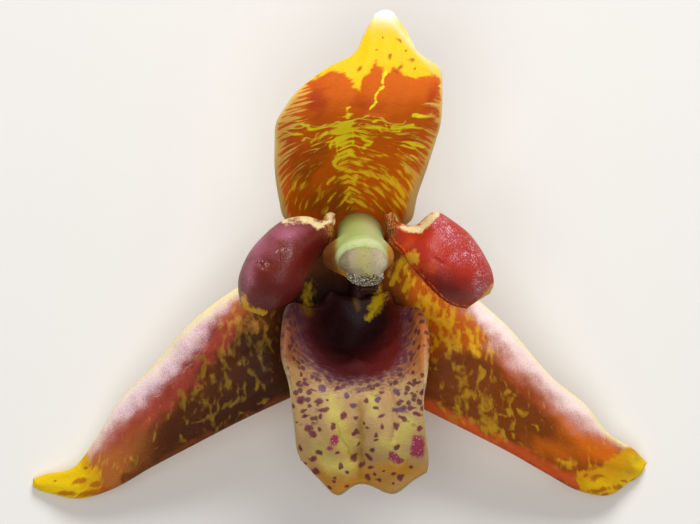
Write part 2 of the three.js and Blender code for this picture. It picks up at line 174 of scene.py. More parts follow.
PETAL_LEFT = {
    "left": [
        (-0.3, 0.3, 5.5), (-0.35, 0.3, 7.0), (-0.5, 0.3, 8.3), (-1.0, 0.0, 9.4),
        (-1.55, -0.65, 10.4), (-1.95, -1.45, 11.0), (-2.4, -2.4, 11.0), (-3.2, -3.05, 10.4),
        (-4.1, -3.5, 9.6), (-4.8, -3.9, 8.9),
    ],
    "crown": [
        (-0.3, 1.0, 5.5), (-0.3, 1.3, 7.0), (-0.35, 1.5, 8.6), (-1.0, 1.2, 10.0), (-2.0, 0.6, 11.3),
        (-2.9, 0.0, 12.2), (-3.9, -1.2, 12.4), (-4.65, -2.35, 11.7), (-5.05, -3.2, 10.5),
        (-5.2, -3.7, 9.3),
    ],
    "right": [
        (-0.3, 1.9, 5.5), (-0.3, 2.2, 6.6), (-0.2, 2.4, 7.6), (-0.75, 1.95, 8.8), (-1.9, 2.1, 9.4),
        (-3.5, 1.75, 9.9), (-5.0, 0.4, 10.2), (-6.0, -1.4, 10.0), (-6.0, -2.9, 9.4),
        (-5.5, -3.6, 8.9),
    ],
    "curl": (85, 95),
    "base_curl": 25,
    "steps": (180, 120),
}

PETAL_RIGHT = {
    "left": [
        (2.9, 1.9, 5.5), (2.9, 2.2, 6.6), (2.85, 2.4, 7.6), (3.5, 1.95, 8.8), (4.6, 1.6, 9.4),
        (5.9, 2.4, 9.9), (7.4, 1.5, 10.2), (8.8, 0.0, 10.2), (9.4, -1.7, 10.0), (9.2, -2.6, 9.2),
    ],
    "crown": [
        (2.9, 1.0, 5.5), (3.0, 1.3, 7.0), (3.1, 1.5, 8.6), (3.8, 1.2, 10.1), (4.7, 0.9, 11.3),
        (5.4, 0.6, 12.2), (6.5, -0.35, 12.5), (7.4, -1.4, 12.2), (8.1, -2.4, 11.2),
        (8.6, -3.0, 9.7),
    ],
    "right": [
        (2.9, 0.3, 5.5), (2.95, 0.5, 7.0), (3.05, 0.7, 8.3), (3.3, 0.5, 9.4), (3.8, 0.05, 10.4),
        (4.35, -0.6, 11.0), (5.05, -1.5, 11.3), (5.9, -2.4, 11.0), (6.9, -3.1, 10.3),
        (8.0, -3.4, 9.2),
    ],
    "curl": (95, 85),
    "base_curl": 25,
    "steps": (180, 120),
}

LIP = {
    "left": [
        (2.75, -2.3, 5.5), (3.05, -3.1, 6.1), (3.7, -3.3, 7.5), (4.6, -3.4, 8.9), (5.0, -4.7, 10.6),
        (5.05, -6.3, 11.5), (5.1, -7.85, 11.6), (5.1, -9.3, 11.3), (5.3, -11.1, 10.8),
        (5.5, -12.7, 9.9), (5.4, -13.4, 9.5),
    ],
    "crown": [
        (1.3, -2.6, 5.0), (1.15, -4.4, 5.0), (1.05, -5.9, 5.8), (1.05, -6.6, 7.2),
        (1.05, -7.1, 8.6), (1.05, -7.7, 9.9), (1.05, -8.5, 10.8), (1.1, -9.7, 11.1),
        (1.2, -11.2, 10.9), (1.4, -12.8, 10.1), (1.55, -14.0, 9.6),
    ],
    "right": [
        (-0.15, -2.3, 5.5), (-0.6, -3.1, 6.1), (-1.6, -3.3, 7.5), (-2.6, -3.1, 8.9),
        (-2.9, -4.4, 10.6), (-3.0, -6.0, 11.5), (-2.8, -7.6, 11.6), (-2.75, -9.2, 11.3),
        (-2.6, -10.95, 10.8), (-2.5, -12.1, 10.2), (-2.3, -12.6, 9.8),
    ],
    "curl": (65, 65),
    "outside": (0.9, 1.9),
    "lobed": True,
    "steps": (280, 170),
}
LIP_TIP_START = 0.75  # of its length
# Lobes past the notch at its tip: reach in millimetres, then place and width across in shares
LIP_TIP_LOBES = [(1.35, 0.38, 0.23), (0.25, 0.7, 0.15), (0.85, -0.36, 0.26)]

# Column and foot, in millimetres, with shares of the column's length
COLUMN_BASE = np.array([1.3, 1.2, 4.35])
COLUMN_TIP = np.array([1.45, -0.5, 13.2])
COLUMN_HALF_WIDTH = 1.5
COLUMN_HALF_DEPTH = 1.45
COLUMN_NECK = 0.45
COLUMN_WING_LEFT = 0.62
COLUMN_WING_RIGHT = 0.34
COLUMN_WING_LEVEL = 0.74
COLUMN_WING_REACH = 0.12
COLUMN_ROUND_END = 1.02
COLUMN_ROUND_LENGTH = 0.12
COLUMN_POINTS = 128
RIM_HEIGHT = 0.02
FOOT_START = np.array([1.3, 1.0, 4.9])
FOOT_END = np.array([1.3, -5.7, 3.95])
FOOT_HALF_WIDTH = 0.6
FOOT_HALF_HEIGHT = 0.5
FOOT_ROUND_END = 0.88
FOOT_POINTS = 32

# Cap, with the grains on it, and viscidium
CAP_CENTRE = np.array([1.52, -0.72, 13.0])
CAP_HALF = np.array([1.5, 1.2, 0.95])
CAP_BEAK = 0.06
CAP_KEEL = 0.1
CAP_STEPS = (120, 180)
GRAIN_COUNT = 200
GRAIN_LIKELIHOOD = 0.27
GRAIN_SIZES = (0.2, 0.7)
GRAIN_PROPORTIONS = (0.6, 1.3)
GRAIN_STEPS = (7, 8)
VISCIDIUM_CENTRE = np.array([1.8, -2.05, 12.1])
VISCIDIUM_HALF = np.array([0.65, 0.45, 0.6])
VISCIDIUM_LUMP = 0.05
VISCIDIUM_STEPS = (60, 80)
LUMP_WAVES = np.array([[9.0, 7.0, 4.0], [3.0, -8.0, 6.0]])

# Ovary and stalk: points of the middle line, with the radius at each
STALK_LINE = [
    (1.3, -9.6, 0.97, 1.05), (1.3, -8.0, 0.97, 1.03), (1.3, -6.2, 1.03, 1.1),
    (1.3, -4.6, 1.22, 1.3), (1.3, -2.8, 1.38, 1.46), (1.3, -1.0, 1.42, 1.5),
    (1.3, 0.3, 1.55, 1.45), (1.3, 0.85, 2.2, 1.35), (1.3, 0.9, 2.8, 1.55), (1.3, 0.9, 3.3, 1.85),
    (1.3, 0.9, 3.75, 1.85),
]
STALK_ROWS = 220
STALK_POINTS = 96
STALK_WRINKLE = 0.02
OVARY_RIBS = 6

# Every tube and ball
SIDEWAYS = np.array([1.0, 0.0, 0.0])
END_SHARES = (0.02, 0.35, 0.7)  # sizes of the rings that close an end
POLE_OPENING = 0.004

# Marks are placed in pixels of the view from straight above. A spot is its middle, half width,
# half height and turn, and a glow has its strength after them. A brush stroke is its half width
# and its path. A pair of places is a span along the view, over which something sets in. WANDER is
# the seed, reach and size of the waves that move marks, and SOFT how far an outline's edge blurs.
TIP_SOFT = 6
GLARE_BAND_SOFT = 17

# Marks of the dorsal sepal
DORSAL_WANDER = (1, 1.5, 20)
DORSAL_NET_WANDER = (2, 1.6, 20)
DORSAL_CREST_WANDER = (12, 1.6, 22)
DORSAL_NET_TOP = 98
DORSAL_LOW = (148, 176)
DORSAL_RIM_WIDENS = (125, 200)
DORSAL_RIM_BASE = (175, 215)
DORSAL_COMB_START = (78, 105)
DORSAL_COMB_END = (165, 205)
DORSAL_GLARE = [(384, 8, 20, 13, 0, 1.4), (412, 44, 3.5, 34, 42, 0.45)]
DORSAL_TIP_OUTLINE = [
    (262, 116), (288, 96), (304, 83), (316, 77), (326, 75), (338, 73), (347, 76), (352, 87),
    (360, 89), (364, 78), (370, 73), (373, 62), (379, 60), (382, 70), (388, 74), (394, 66),
    (402, 70), (409, 76), (416, 79), (424, 75), (432, 74), (450, 80), (450, 0), (262, 0),
]
DORSAL_TIP_DOTS = [
    (390, 57, 2.2, 4.5), (410, 62, 3.2, 2.6), (401, 66, 4.5, 2.2), (398, 40, 1.8, 2.4),
    (407, 49, 2.0, 2.0), (377, 50, 2.6, 1.6), (359, 69, 3.4, 3.2), (383, 38, 1.4, 1.4),
    (396, 70, 4.5, 2.5), (416, 68, 1.6, 1.4),
]
DORSAL_YELLOW_STROKES = [
    (1.9, (384, 70), (382, 84), (379, 94), (375, 104), (370, 112)),
    (2.6, (352, 108), (349, 114), (346, 119)),
    (3.4, (340, 125), (346, 128), (350, 124)),
    (2.0, (346, 131), (342, 138), (340, 148), (337, 158), (338, 167)),
    (2.2, (352, 130), (351, 138), (354, 145)),
    (1.7, (358, 124), (368, 126), (378, 129), (389, 134)),
    (1.3, (372, 121), (381, 120), (387, 122)),
    (2.9, (394, 126), (402, 127), (411, 126)),
    (1.5, (384, 124), (391, 129), (400, 131)),
    (1.4, (296, 127), (309, 129), (324, 124), (338, 124)),
    (2.0, (310, 141), (317, 137), (328, 132)),
    (1.4, (284, 131), (291, 133), (301, 135)),
    (1.2, (312, 146), (322, 141), (334, 138)),
    (2.8, (363, 138), (369, 143), (366, 147)),
    (2.0, (347, 156), (353, 156)),
    (3.6, (335, 157), (336, 163)),
    (2.2, (340, 168), (352, 169), (363, 174), (375, 178)),
    (2.4, (333, 177), (330, 184)),
    (2.8, (355, 176), (357, 184)),
    (2.8, (346, 197), (352, 199)),
    (1.3, (412, 119), (421, 118), (433, 114)),
    (1.5, (345, 146), (356, 148), (366, 152)),
    (1.5, (345, 134), (338, 141), (330, 147)),
    (1.4, (402, 141), (412, 144), (424, 147)),
    (1.3, (398, 150), (412, 155), (424, 160)),
]
DORSAL_CREST = [
    (1.0, (292, 127), (310, 128), (326, 125), (339, 122), (351, 121), (362, 119), (371, 116)),
    (0.9, (353, 120), (368, 118), (381, 119), (391, 121), (405, 123)),
    (0.8, (419, 118), (433, 114)),
    (0.7, (318, 138), (330, 133), (341, 130)),
    (0.7, (305, 155), (318, 149), (331, 143)),
    (0.7, (388, 127), (400, 131), (412, 132)),
    (0.6, (350, 128), (362, 125), (376, 126)),
    (0.6, (300, 139), (312, 137), (322, 133)),
]
DORSAL_NET_ZONES = [
    (343, 148, 11, 26, 0, 0.8), (366, 133, 36, 9, 0, 0.6), (318, 131, 28, 9, 0, 0.4),
    (362, 158, 26, 16, 0, 0.5), (378, 188, 30, 26, 0, 0.62), (312, 195, 30, 26, 0, 0.5),
    (404, 190, 18, 32, 0, 0.66), (403, 127, 22, 6, 0, 0.55), (350, 188, 16, 20, 0, 0.4),
    (424, 118, 14, 6, 0, 0.4), (345, 110, 9, 12, 20, 0.5), (410, 150, 22, 14, 0, 0.4),
    (300, 160, 20, 14, 0, 0.3), (346, 126, 10, 8, 0, 0.7), (375, 126, 22, 6, 0, 0.5),
]
DORSAL_BROWNS = [
    (300, 172, 22, 26, 0, 0.8), (322, 150, 12, 14, 0, 0.5), (342, 196, 16, 24, 0, 1.0),
    (316, 206, 26, 16, 0, 0.6),
]
DORSAL_SHADES = [
    (316, 98, 12, 26, 12, 0.9), (434, 100, 10, 22, 0, 0.9), (300, 158, 24, 18, -15, 0.6),
    (412, 142, 20, 10, 0, 0.6), (372, 104, 26, 10, 0, 0.4), (285, 140, 10, 34, 0, 0.4),
]

# Marks of the left lateral sepal
LEFT_WANDER = (3, 1.4, 24)
LEFT_BLOTCH_WANDER = (4, 2.2, 18)
LEFT_TIP_END_SOFT = 36
LEFT_RIM_WIDENS = (100, 240)
LEFT_RIM_END = (244, 262)
LEFT_WARM_END = (175, 95)
# Pale band along the left sepal's upper margin: partly its own pale colour, partly painted glare.
LEFT_GLARE_BAND_OUTLINE = [
    (262, 280), (246, 292), (232, 303), (220, 315), (210, 328), (200, 342), (190, 355), (176, 371),
    (160, 387), (143, 403), (124, 421), (106, 439), (90, 456), (40, 460), (60, 380), (160, 270),
    (262, 230),
]
LEFT_TIP_OUTLINE = [(86, 440), (92, 463), (98, 472), (101, 483), (90, 510), (0, 510), (0, 440)]
LEFT_TIP_MARKS = [
    (80, 481, 8, 3.0, 12), (96, 484, 6, 3.0, 10), (66, 493, 10, 2.6, 0), (90, 493, 15, 3.4, 8),
    (55, 481, 2.0, 1.2, 0), (86, 468, 2.2, 1.6, 0), (107, 490, 10, 4, 0),
]
LEFT_BLOTCH_STROKES = [
    (2.2, (196, 356), (202, 360), (203, 368), (201, 376)),
    (2.0, (211, 374), (212, 382)),
    (1.9, (228, 344), (230, 352)),
    (1.7, (219, 349), (222, 356)),
    (2.0, (247, 347), (252, 357)),
    (2.2, (243, 318), (250, 324)),
    (2.0, (257, 318), (259, 326)),
    (1.7, (248, 372), (256, 378), (262, 386)),
    (1.8, (224, 364), (229, 372)),
    (2.2, (199, 384), (200, 391), (193, 392)),
    (2.0, (181, 399), (185, 404)),
    (2.2, (204, 400), (208, 408), (215, 419)),
    (2.0, (199, 424), (205, 419), (212, 417)),
    (2.8, (221, 406), (225, 400)),
    (1.9, (231, 405), (236, 401)),
    (1.6, (241, 402), (246, 398)),
    (1.9, (184, 418), (188, 424)),
    (1.6, (178, 435), (183, 438)),
    (1.9, (132, 454), (136, 458)),
    (1.7, (241, 414), (245, 417)),
    (1.6, (262, 402), (268, 398)),
    (1.6, (238, 330), (240, 338)),
    (1.5, (266, 340), (270, 350)),
    (1.7, (176, 396), (180, 392)),
    (1.4, (262, 360), (268, 370)),
]
LEFT_LAVENDER = [
    (184, 349, 19, 10, 45), (152, 387, 18, 8, 45), (170, 368, 16, 7, 45), (203, 327, 12, 9, 45),
    (130, 407, 12, 6, 40), (224, 308, 12, 6, 35),
]
LEFT_WARMS = [(234, 308, 22, 13, 40, 1.3), (262, 326, 14, 12, 0, 0.4), (206, 346, 8, 6, 0, 0.6)]
LEFT_DAPPLES = [
    (244, 318, 28, 22, 0, 0.8), (215, 395, 50, 24, 30, 0.5), (225, 350, 36, 22, 30, 0.35),
    (262, 345, 20, 30, 0, 0.4), (110, 462, 24, 14, 0, 0.5),
]
# Darker ground of the left lateral sepal by the lip and along its lower half, partly painted shade.
LEFT_DARK_GROUND_AND_SHADE = [
    (270, 350, 34, 50, 0, 1.0), (250, 400, 50, 26, 25, 0.8), (190, 430, 60, 16, 25, 0.7),
]
LEFT_RED = [
    (15.0, (238, 320), (216, 341), (200, 360), (183, 380), (162, 399), (138, 419), (114, 441)),
]
LEFT_CREASE = [(0.9, (207, 346), (196, 359), (184, 372), (170, 385), (154, 400))]
LEFT_WARM_EDGE = [
    (4.0, (288, 398), (262, 412), (236, 424), (205, 438), (178, 451), (150, 466), (124, 482)),
]

# Marks of the right lateral sepal, and of the throat between both
RIGHT_WANDER = (5, 1.4, 24)
RIGHT_YELLOW_WANDER = (6, 2.2, 18)
RIGHT_TIP_END_SOFT = 40
RIGHT_RIM_END = (462, 440)
# Pale band along the right sepal's upper margin: partly its own pale colour, partly painted glare.
RIGHT_GLARE_BAND_OUTLINE = [
    (462, 300), (474, 312), (485, 323), (496, 339), (507, 352), (519, 365), (533, 377), (548, 391),
    (562, 404), (577, 417), (592, 427), (606, 435), (640, 448), (640, 300), (462, 260),
]
RIGHT_TIP_OUTLINE = [
    (572, 520), (580, 486), (574, 475), (590, 468), (602, 466), (608, 459), (620, 455), (628, 447),
    (636, 436), (700, 436), (700, 520),
]
RIGHT_TIP_MARKS = [
    (594, 469, 4, 2.0, 0), (599, 478, 7, 2.2, 0), (622, 480, 3, 1.8, 0), (634, 477, 3, 1.8, 0),
    (600, 490, 10, 3.0, 0), (617, 489, 6, 2.4, 0), (586, 476, 2, 2, 0), (628, 487, 4, 2, 20),
    (606, 497, 6, 1.6, 0),
]
RIGHT_YELLOW_STROKES = [
    (3.0, (424, 300), (425, 312), (423, 322)),
    (2.8, (436, 304), (440, 309)),
    (2.6, (441, 322), (445, 326)),
    (3.0, (450, 323), (455, 320)),
    (2.8, (464, 312), (470, 316)),
    (2.4, (448, 351), (450, 355)),
    (2.4, (430, 331), (432, 335)),
    (1.8, (442, 339), (444, 343)),
    (2.2, (452, 363), (455, 366)),
    (2.6, (460, 366), (463, 370)),
    (1.8, (468, 372), (463, 380), (457, 389)),
    (1.5, (481, 368), (481, 378), (476, 388)),
    (1.7, (493, 369), (493, 376)),
    (2.4, (501, 381), (503, 386)),
    (1.9, (505, 391), (511, 394)),
    (4.4, (462, 399), (469, 395)),
    (2.4, (467, 399), (467, 405)),
    (1.7, (477, 392), (478, 400)),
    (4.4, (487, 399), (490, 404)),
    (2.6, (483, 407), (490, 409), (495, 417), (492, 426)),
    (2.0, (496, 415), (503, 414), (510, 412)),
    (1.7, (510, 400), (512, 412), (512, 422), (513, 430)),
    (3.6, (480, 419), (485, 424)),
    (3.0, (497, 432), (502, 435)),
    (2.0, (519, 444), (522, 446)),
    (2.4, (559, 461), (566, 464), (572, 460)),
    (2.0, (441, 402), (442, 406)),
    (3.2, (452, 415), (455, 419)),
    (2.0, (432, 366), (436, 369)),
    (1.8, (425, 345), (428, 350)),
    (2.6, (474, 338), (477, 348)),
    (2.0, (466, 334), (470, 330)),
    (1.8, (486, 352), (488, 359)),
    (1.7, (521, 408), (523, 414)),
    (1.6, (535, 424), (539, 428)),
]
RIGHT_LOW_BAND = [(7.0, (424, 406), (450, 418), (480, 434), (512, 450), (545, 467), (578, 484))]
# Pinkish streak between the pale band and the dark middle, partly painted sheen.
RIGHT_PINK_AND_SHEEN = [(5.0, (497, 344), (512, 360), (529, 375), (545, 391), (563, 408), (585, 426))]
RIGHT_ORANGE = [
    (432, 312, 36, 34, 0, 1.5), (470, 330, 26, 18, -40, 0.9), (596, 444, 34, 16, -35, 1.4),
    (556, 452, 34, 12, -30, 0.8), (424, 350, 18, 16, 0, 0.5), (515, 368, 26, 10, -42, 0.7),
    (560, 410, 30, 10, -42, 0.6),
]
RIGHT_REDS = [(510, 372, 12, 40, 45, 0.9), (545, 400, 12, 34, 50, 0.6), (470, 345, 18, 18, 0, 0.5)]
RIGHT_DAPPLES = [
    (455, 411, 9, 4, 25, 0.5), (471, 420, 9, 4, 25, 0.55), (489, 430, 9, 4, 25, 0.6),
    (508, 440, 9, 4, 25, 0.5), (528, 451, 7, 3, 25, 0.4),
    (438, 306, 30, 28, 0, 0.85), (462, 338, 28, 24, 0, 0.6), (430, 345, 20, 24, 0, 0.5),
    (480, 350, 22, 20, 0, 0.5), (500, 345, 14, 10, -40, 0.5),
    (404, 272, 16, 26, 30, 0.9), (460, 385, 22, 16, 0, 0.35), (495, 405, 30, 22, 0, 0.4),
    (480, 424, 40, 8, -27, 0.5), (600, 462, 26, 10, -40, 0.5),
]
RIGHT_DARK = [
    (448, 380, 34, 26, 0, 0.8), (502, 400, 34, 22, -40, 0.8), (540, 425, 34, 12, -40, 0.6),
]
THROAT_SHADE = [
    (345, 316, 46, 44, 0, 1.5), (300, 300, 26, 30, 0, 0.5), (400, 330, 22, 40, 0, 0.9),
]
THROAT_YELLOW_RIGHT = [
    (6.0, (376, 286), (379, 297), (377, 308), (370, 318)),
    (3.6, (401, 262), (396, 274), (391, 284)),
    (3.4, (409, 280), (404, 290)),
]
THROAT_YELLOW_LEFT = [(7.0, (309, 288), (306, 300), (311, 310))]

# Marks of the petals
PETAL_LEFT_WANDER = (7, 1.0, 18)
# Painted shade of the left petal darkens it towards its lower right.
PETAL_LEFT_SHADE_RAMP = ((266, 264), (36, 50))  # start and reach
PETAL_LEFT_DIMPLE = [(262, 265, 12, 4, -25), (268, 262, 6, 2, -25)]
PETAL_LEFT_CLAW = [(333, 224, 9, 18, 0, 1.3)]
PETAL_LEFT_CREAM = [
    (5.0, (286, 221), (298, 217), (311, 220), (321, 225)),
    (2.6, (321, 225), (329, 221), (335, 210)),
]
PETAL_LEFT_GOLD = [(6.0, (243, 298), (249, 309), (262, 316))]
PETAL_LEFT_SPOTS = [(252, 305, 3, 2.2, -30)]
# Painted sparkle of highlights on the left petal.
PETAL_LEFT_SHEEN = [(262, 265, 9, 4, -30), (282, 252, 9, 3, 10), (250, 282, 5, 6, 0)]
# Mauve of the left petal's shoulder, partly painted sheen.
PETAL_LEFT_MAUVE_SHEEN = [(255, 244, 22, 18, 40), (288, 232, 20, 10, 10), (248, 274, 10, 20, 0)]
PETAL_RIGHT_WANDER = (8, 0.9, 20)
PETAL_RIGHT_LINE_END = (484, 468)
PETAL_RIGHT_CREASE = [(470, 252, 8, 2.2, -30), (440, 262, 14, 3, -30)]
PETAL_RIGHT_CLAW = [(386, 222, 13, 16, 0, 1.3)]
PETAL_RIGHT_CREAM = [(4.2, (401, 227), (411, 229), (420, 228), (428, 222), (436, 214))]
PETAL_RIGHT_GOLD = [
    (4.6, (478, 306), (487, 297), (491, 287)),
    (7.0, (411, 256), (416, 259)),
]
PETAL_RIGHT_WARM = [(431, 268, 8, 7, 0), (417, 264, 9, 11, -40), (408, 244, 9, 6, 50)]
# Painted sheen and sparkle on the right petal's upper side.
PETAL_RIGHT_SHEEN = [
    (450, 234, 22, 9, -40), (468, 252, 14, 15, -20), (479, 282, 9, 15, 0), (438, 222, 12, 8, 0),
]
# Painted shade on the right petal's lower side.
PETAL_RIGHT_SHADE = [(450, 290, 28, 14, -30)]

# Marks of the lip
LIP_WANDER = (10, 0.6, 12)
LIP_THROAT_SOFT = 9
LIP_WASH_SOFT = 28
LIP_FRECKLED = (400, 375)
LIP_FRECKLES_END = (440, 405)
LIP_STREAKY = (365, 335)
LIP_SIDE_LOBES = (430, 318)
# Span over which the lip turns from its darker left, painted shade, to its lit right.
LIP_LIT_RIGHT_SIDE = (350, 405)
LIP_RIM_SHOWN = (335, 390)
LIP_SPOTS = [
    (301, 374, 2.2, 2.2, 0), (300, 382, 2.4, 1.6, 0), (306, 384, 3.2, 2.4, 0),
    (322, 389, 4.6, 5.0, 0), (319, 401, 4.4, 3.6, 0), (327, 401, 2.0, 2.0, 0),
    (300, 400, 5.6, 4.4, -30), (322, 410, 7.4, 2.4, 6), (320, 416, 2.6, 2.4, 0),
    (305, 409, 3.0, 1.6, 0), (305, 417, 4.8, 1.7, 10), (298, 423, 2.2, 1.5, 0),
    (308, 428, 5.0, 5.0, 0), (313, 434, 5.2, 4.2, -20), (320, 429, 2.8, 3.4, 0),
    (333, 426, 3.4, 3.2, 0), (335, 438, 4.2, 4.6, -40), (329, 446, 3.2, 2.2, 20),
    (337, 451, 2.6, 2.0, 0), (319, 452, 4.2, 3.4, -20), (313, 459, 5.0, 3.6, 0),
    (300, 448, 2.4, 3.4, 0), (304, 464, 2.8, 2.2, 0), (316, 471, 5.6, 3.0, -25),
    (341, 464, 2.4, 4.8, 10), (347, 471, 2.6, 2.2, 0), (335, 476, 2.2, 1.7, 0),
    (334, 480, 2.8, 1.7, 0), (346, 486, 3.6, 1.7, 20), (330, 486, 3.6, 1.8, -20),
    (354, 459, 3.4, 4.8, -30), (360, 466, 3.6, 3.0, -20), (344, 416, 4.2, 4.6, -40),
    (355, 418, 3.2, 2.6, 0), (354, 406, 4.0, 3.4, 0), (356, 434, 4.8, 4.0, 0),
    (358, 445, 1.8, 2.0, 0), (346, 396, 3.2, 3.4, 0), (359, 391, 2.6, 2.0, 0),
    (366, 401, 2.8, 3.2, 20), (378, 400, 3.6, 3.2, 0), (376, 408, 3.4, 2.2, 0),
    (382, 416, 5.0, 2.1, 10), (364, 423, 2.0, 2.0, 0), (368, 427, 2.6, 1.8, 0),
    (382, 425, 2.6, 2.9, 20), (376, 434, 3.2, 2.6, -15), (376, 439, 2.8, 1.5, 0),
    (373, 449, 3.6, 2.8, 10), (369, 457, 3.6, 3.1, 0), (364, 464, 1.8, 2.8, 0),
    (371, 468, 3.6, 2.2, 10), (375, 473, 2.2, 1.6, 0), (378, 479, 2.9, 2.5, 0),
    (368, 478, 3.2, 3.4, 0), (384, 469, 2.2, 1.5, 0), (393, 472, 3.2, 2.1, 0),
    (400, 476, 4.9, 4.2, -20), (393, 483, 2.2, 1.5, 0), (411, 467, 2.6, 2.2, 0),
    (397, 445, 4.1, 2.9, 0), (392, 452, 4.9, 4.0, -40), (399, 458, 5.0, 3.8, -40),
    (417, 440, 4.8, 5.6, 0), (421, 450, 4.2, 7.0, 0), (415, 453, 6.0, 3.4, 0),
    (420, 429, 3.2, 3.2, -20), (396, 426, 3.6, 4.2, -20), (402, 417, 4.4, 1.7, 0),
    (417, 415, 4.8, 2.1, -10), (400, 410, 8.0, 3.4, 0), (413, 408, 4.4, 1.6, 0),
    (397, 391, 5.0, 4.4, -40), (401, 401, 2.6, 2.2, 0), (419, 400, 3.2, 2.6, -20),
    (411, 394, 1.8, 1.6, 0), (416, 392, 1.6, 1.4, 0), (422, 391, 2.2, 1.8, 0),
    (410, 384, 2.7, 1.8, 0), (418, 382, 4.2, 1.8, 0), (382, 392, 3.0, 1.8, 0),
    (372, 389, 3.0, 1.8, 0), (338, 389, 3.6, 3.0, 0), (312, 390, 4.6, 1.3, 0),
]
LIP_MAGENTA = [
    (335, 438, 5, 5, -40), (418, 446, 8, 12, 0), (394, 455, 7, 5, -40), (330, 446, 4, 3, 0),
]
LIP_VIOLET = [
    (322, 392, 8, 9, 0), (355, 406, 6, 5, 0), (346, 396, 5, 4, 0), (400, 408, 12, 6, 0),
    (398, 390, 8, 8, 0), (378, 402, 6, 6, 0), (350, 378, 40, 10, 0), (400, 372, 16, 12, 0),
]
LIP_THROAT_OUTLINE = [
    (290, 290), (300, 312), (304, 335), (311, 352), (320, 368), (342, 379), (374, 379),
    (392, 371), (403, 352), (403, 332), (401, 312), (400, 290), (400, 240), (290, 240),
]
# Deepest part of the throat: maroon, deepened with painted shade.
LIP_CORE_SHADE = [(352, 318, 44, 42, 0, 1.3)]
LIP_YELLOW = [
    (6.0, (380, 286), (380, 303)), (8.0, (378, 302), (375, 309)), (5.0, (374, 312), (368, 319)),
]
LIP_YELLOW_DIM = [(5.0, (306, 294), (304, 302), (309, 312)), (3.0, (356, 300), (358, 308))]
# Pale yellow swellings of the blade, partly painted light on their lit tops.
LIP_LIT_LEMON = [
    (13.0, (316, 446), (332, 460), (346, 468)), (11.0, (384, 440), (398, 452)),
    (11.0, (331, 398), (334, 412), (341, 430), (346, 448)),
    (12.0, (410, 424), (402, 434), (394, 446)),
    (7.0, (371, 396), (375, 412)),
]
LIP_GROOVE = [(4.0, (360, 404), (361, 430), (361, 455), (361, 478))]
LIP_FOLD = [(2.2, (337, 424), (342, 438), (348, 450), (353, 458))]
LIP_CREASE = [(1.3, (388, 384), (391, 396), (394, 408), (396, 424), (393, 438))]
LIP_OCHRE = [(352, 478, 60, 22, 0), (344, 440, 8, 22, 20), (400, 470, 26, 14, 0)]


def linear(code):
    """Linear red, green, blue and alpha of a colour given as six hexadecimal digits."""
    parts = [int(code[k:k + 2], 16) / 255 for k in (0, 2, 4)]
    return (*[c / 12.92 if c <= 0.04045 else ((c + 0.055) / 1.055) ** 2.4 for c in parts], 1.0)


def tone_table(**codes):
    """Named tones of one finish, from their hexadecimal codes."""
    return SimpleNamespace(**{name: linear(code) for name, code in codes.items()})


# Tones of the patterns. The main colours are in the settings further down.
DORSAL_TONES = tone_table(
    brown="8a4a08", comb_ground="dc6a34", gold="dfa014", net="ffea20", net_low="f8ce24",
    dots="b8560a", comb="f2c45c", rim="eed47c", rim_low="d2b06a", crest="ffdc50", apex="fbf8ea")
LATERAL_TONES = tone_table(
    deep="38180a", speckle="97647c", throat="260c05", patch="c9a012", tip_end="c9820e",
    dots="b05a10", crease="f0c9ae")
# Tones of the left lateral sepal, mostly darker than the right's: painted shade of the side away
# from the light.
LEFT_SHADED_TONES = tone_table(
    tint="b2682c", flush="a84234", dull="8a6a1c", bright="cc9038", edge="703a14",
    fringe="e2bccc", rose="c8807c")
RIGHT_TONES = tone_table(
    ground="7a3a0a", tint="d2680e", flush="a8451a", dull="b88a18", bright="f0b81c",
    edge="cc5622", fringe="dba69c", rose="c0765c")
PETAL_TONES = tone_table(
    glitter="f2bec4", warm="cc5016", claw="c98c46", claw_streak="7a2414", gold="e4aa2c",
    line="ee8e38", dots="8a4518", outside="d8b070")
LIP_TONES = tone_table(
    left_lobe="7e4016", groove="94701a", freckles="54222a", spot_core="531528",
    violet_spot="5b3f66", sparkle="eeb4d0", throat_left="521418", throat_right="761c10",
    yellow="ccaa08", dim="85600c", rim="e6dcae", outside="b0804a")
COLUMN_TONES = tone_table(bright="b6bf86", wing_shade="6e3f10", foot="2c0e08")
CAP_TONES = tone_table(
    shaded="7c6c4e", lit="c4b592", snout="a89a74", snout_dark="46301c", freckles="54401f",
    specks="e9e2cc", grain="fbf6f0", grain_dark="a08a70")
VISCIDIUM_TONES = tone_table(grain="6a3a20")
STALK_TONES = tone_table(flecks="6b3a22")


def colour_property(name, description, code):
    return bpy.props.FloatVectorProperty(
        name=name, description=description, default=linear(code), size=4, min=0, max=1,
        subtype="COLOR")


def length_property(name, description, millimetres, highest):
    return bpy.props.FloatProperty(
        name=name, description=description, default=millimetres * MM, min=0, max=highest * MM,
        precision=5, subtype="DISTANCE", unit="LENGTH")


def share_property(name, description, default):
    return bpy.props.FloatProperty(
        name=name, description=description, default=default, min=0, max=1, subtype="FACTOR")


def power_property(name, description, watts):
    return bpy.props.FloatProperty(
        name=name, description=description, default=watts, min=0, unit="POWER")


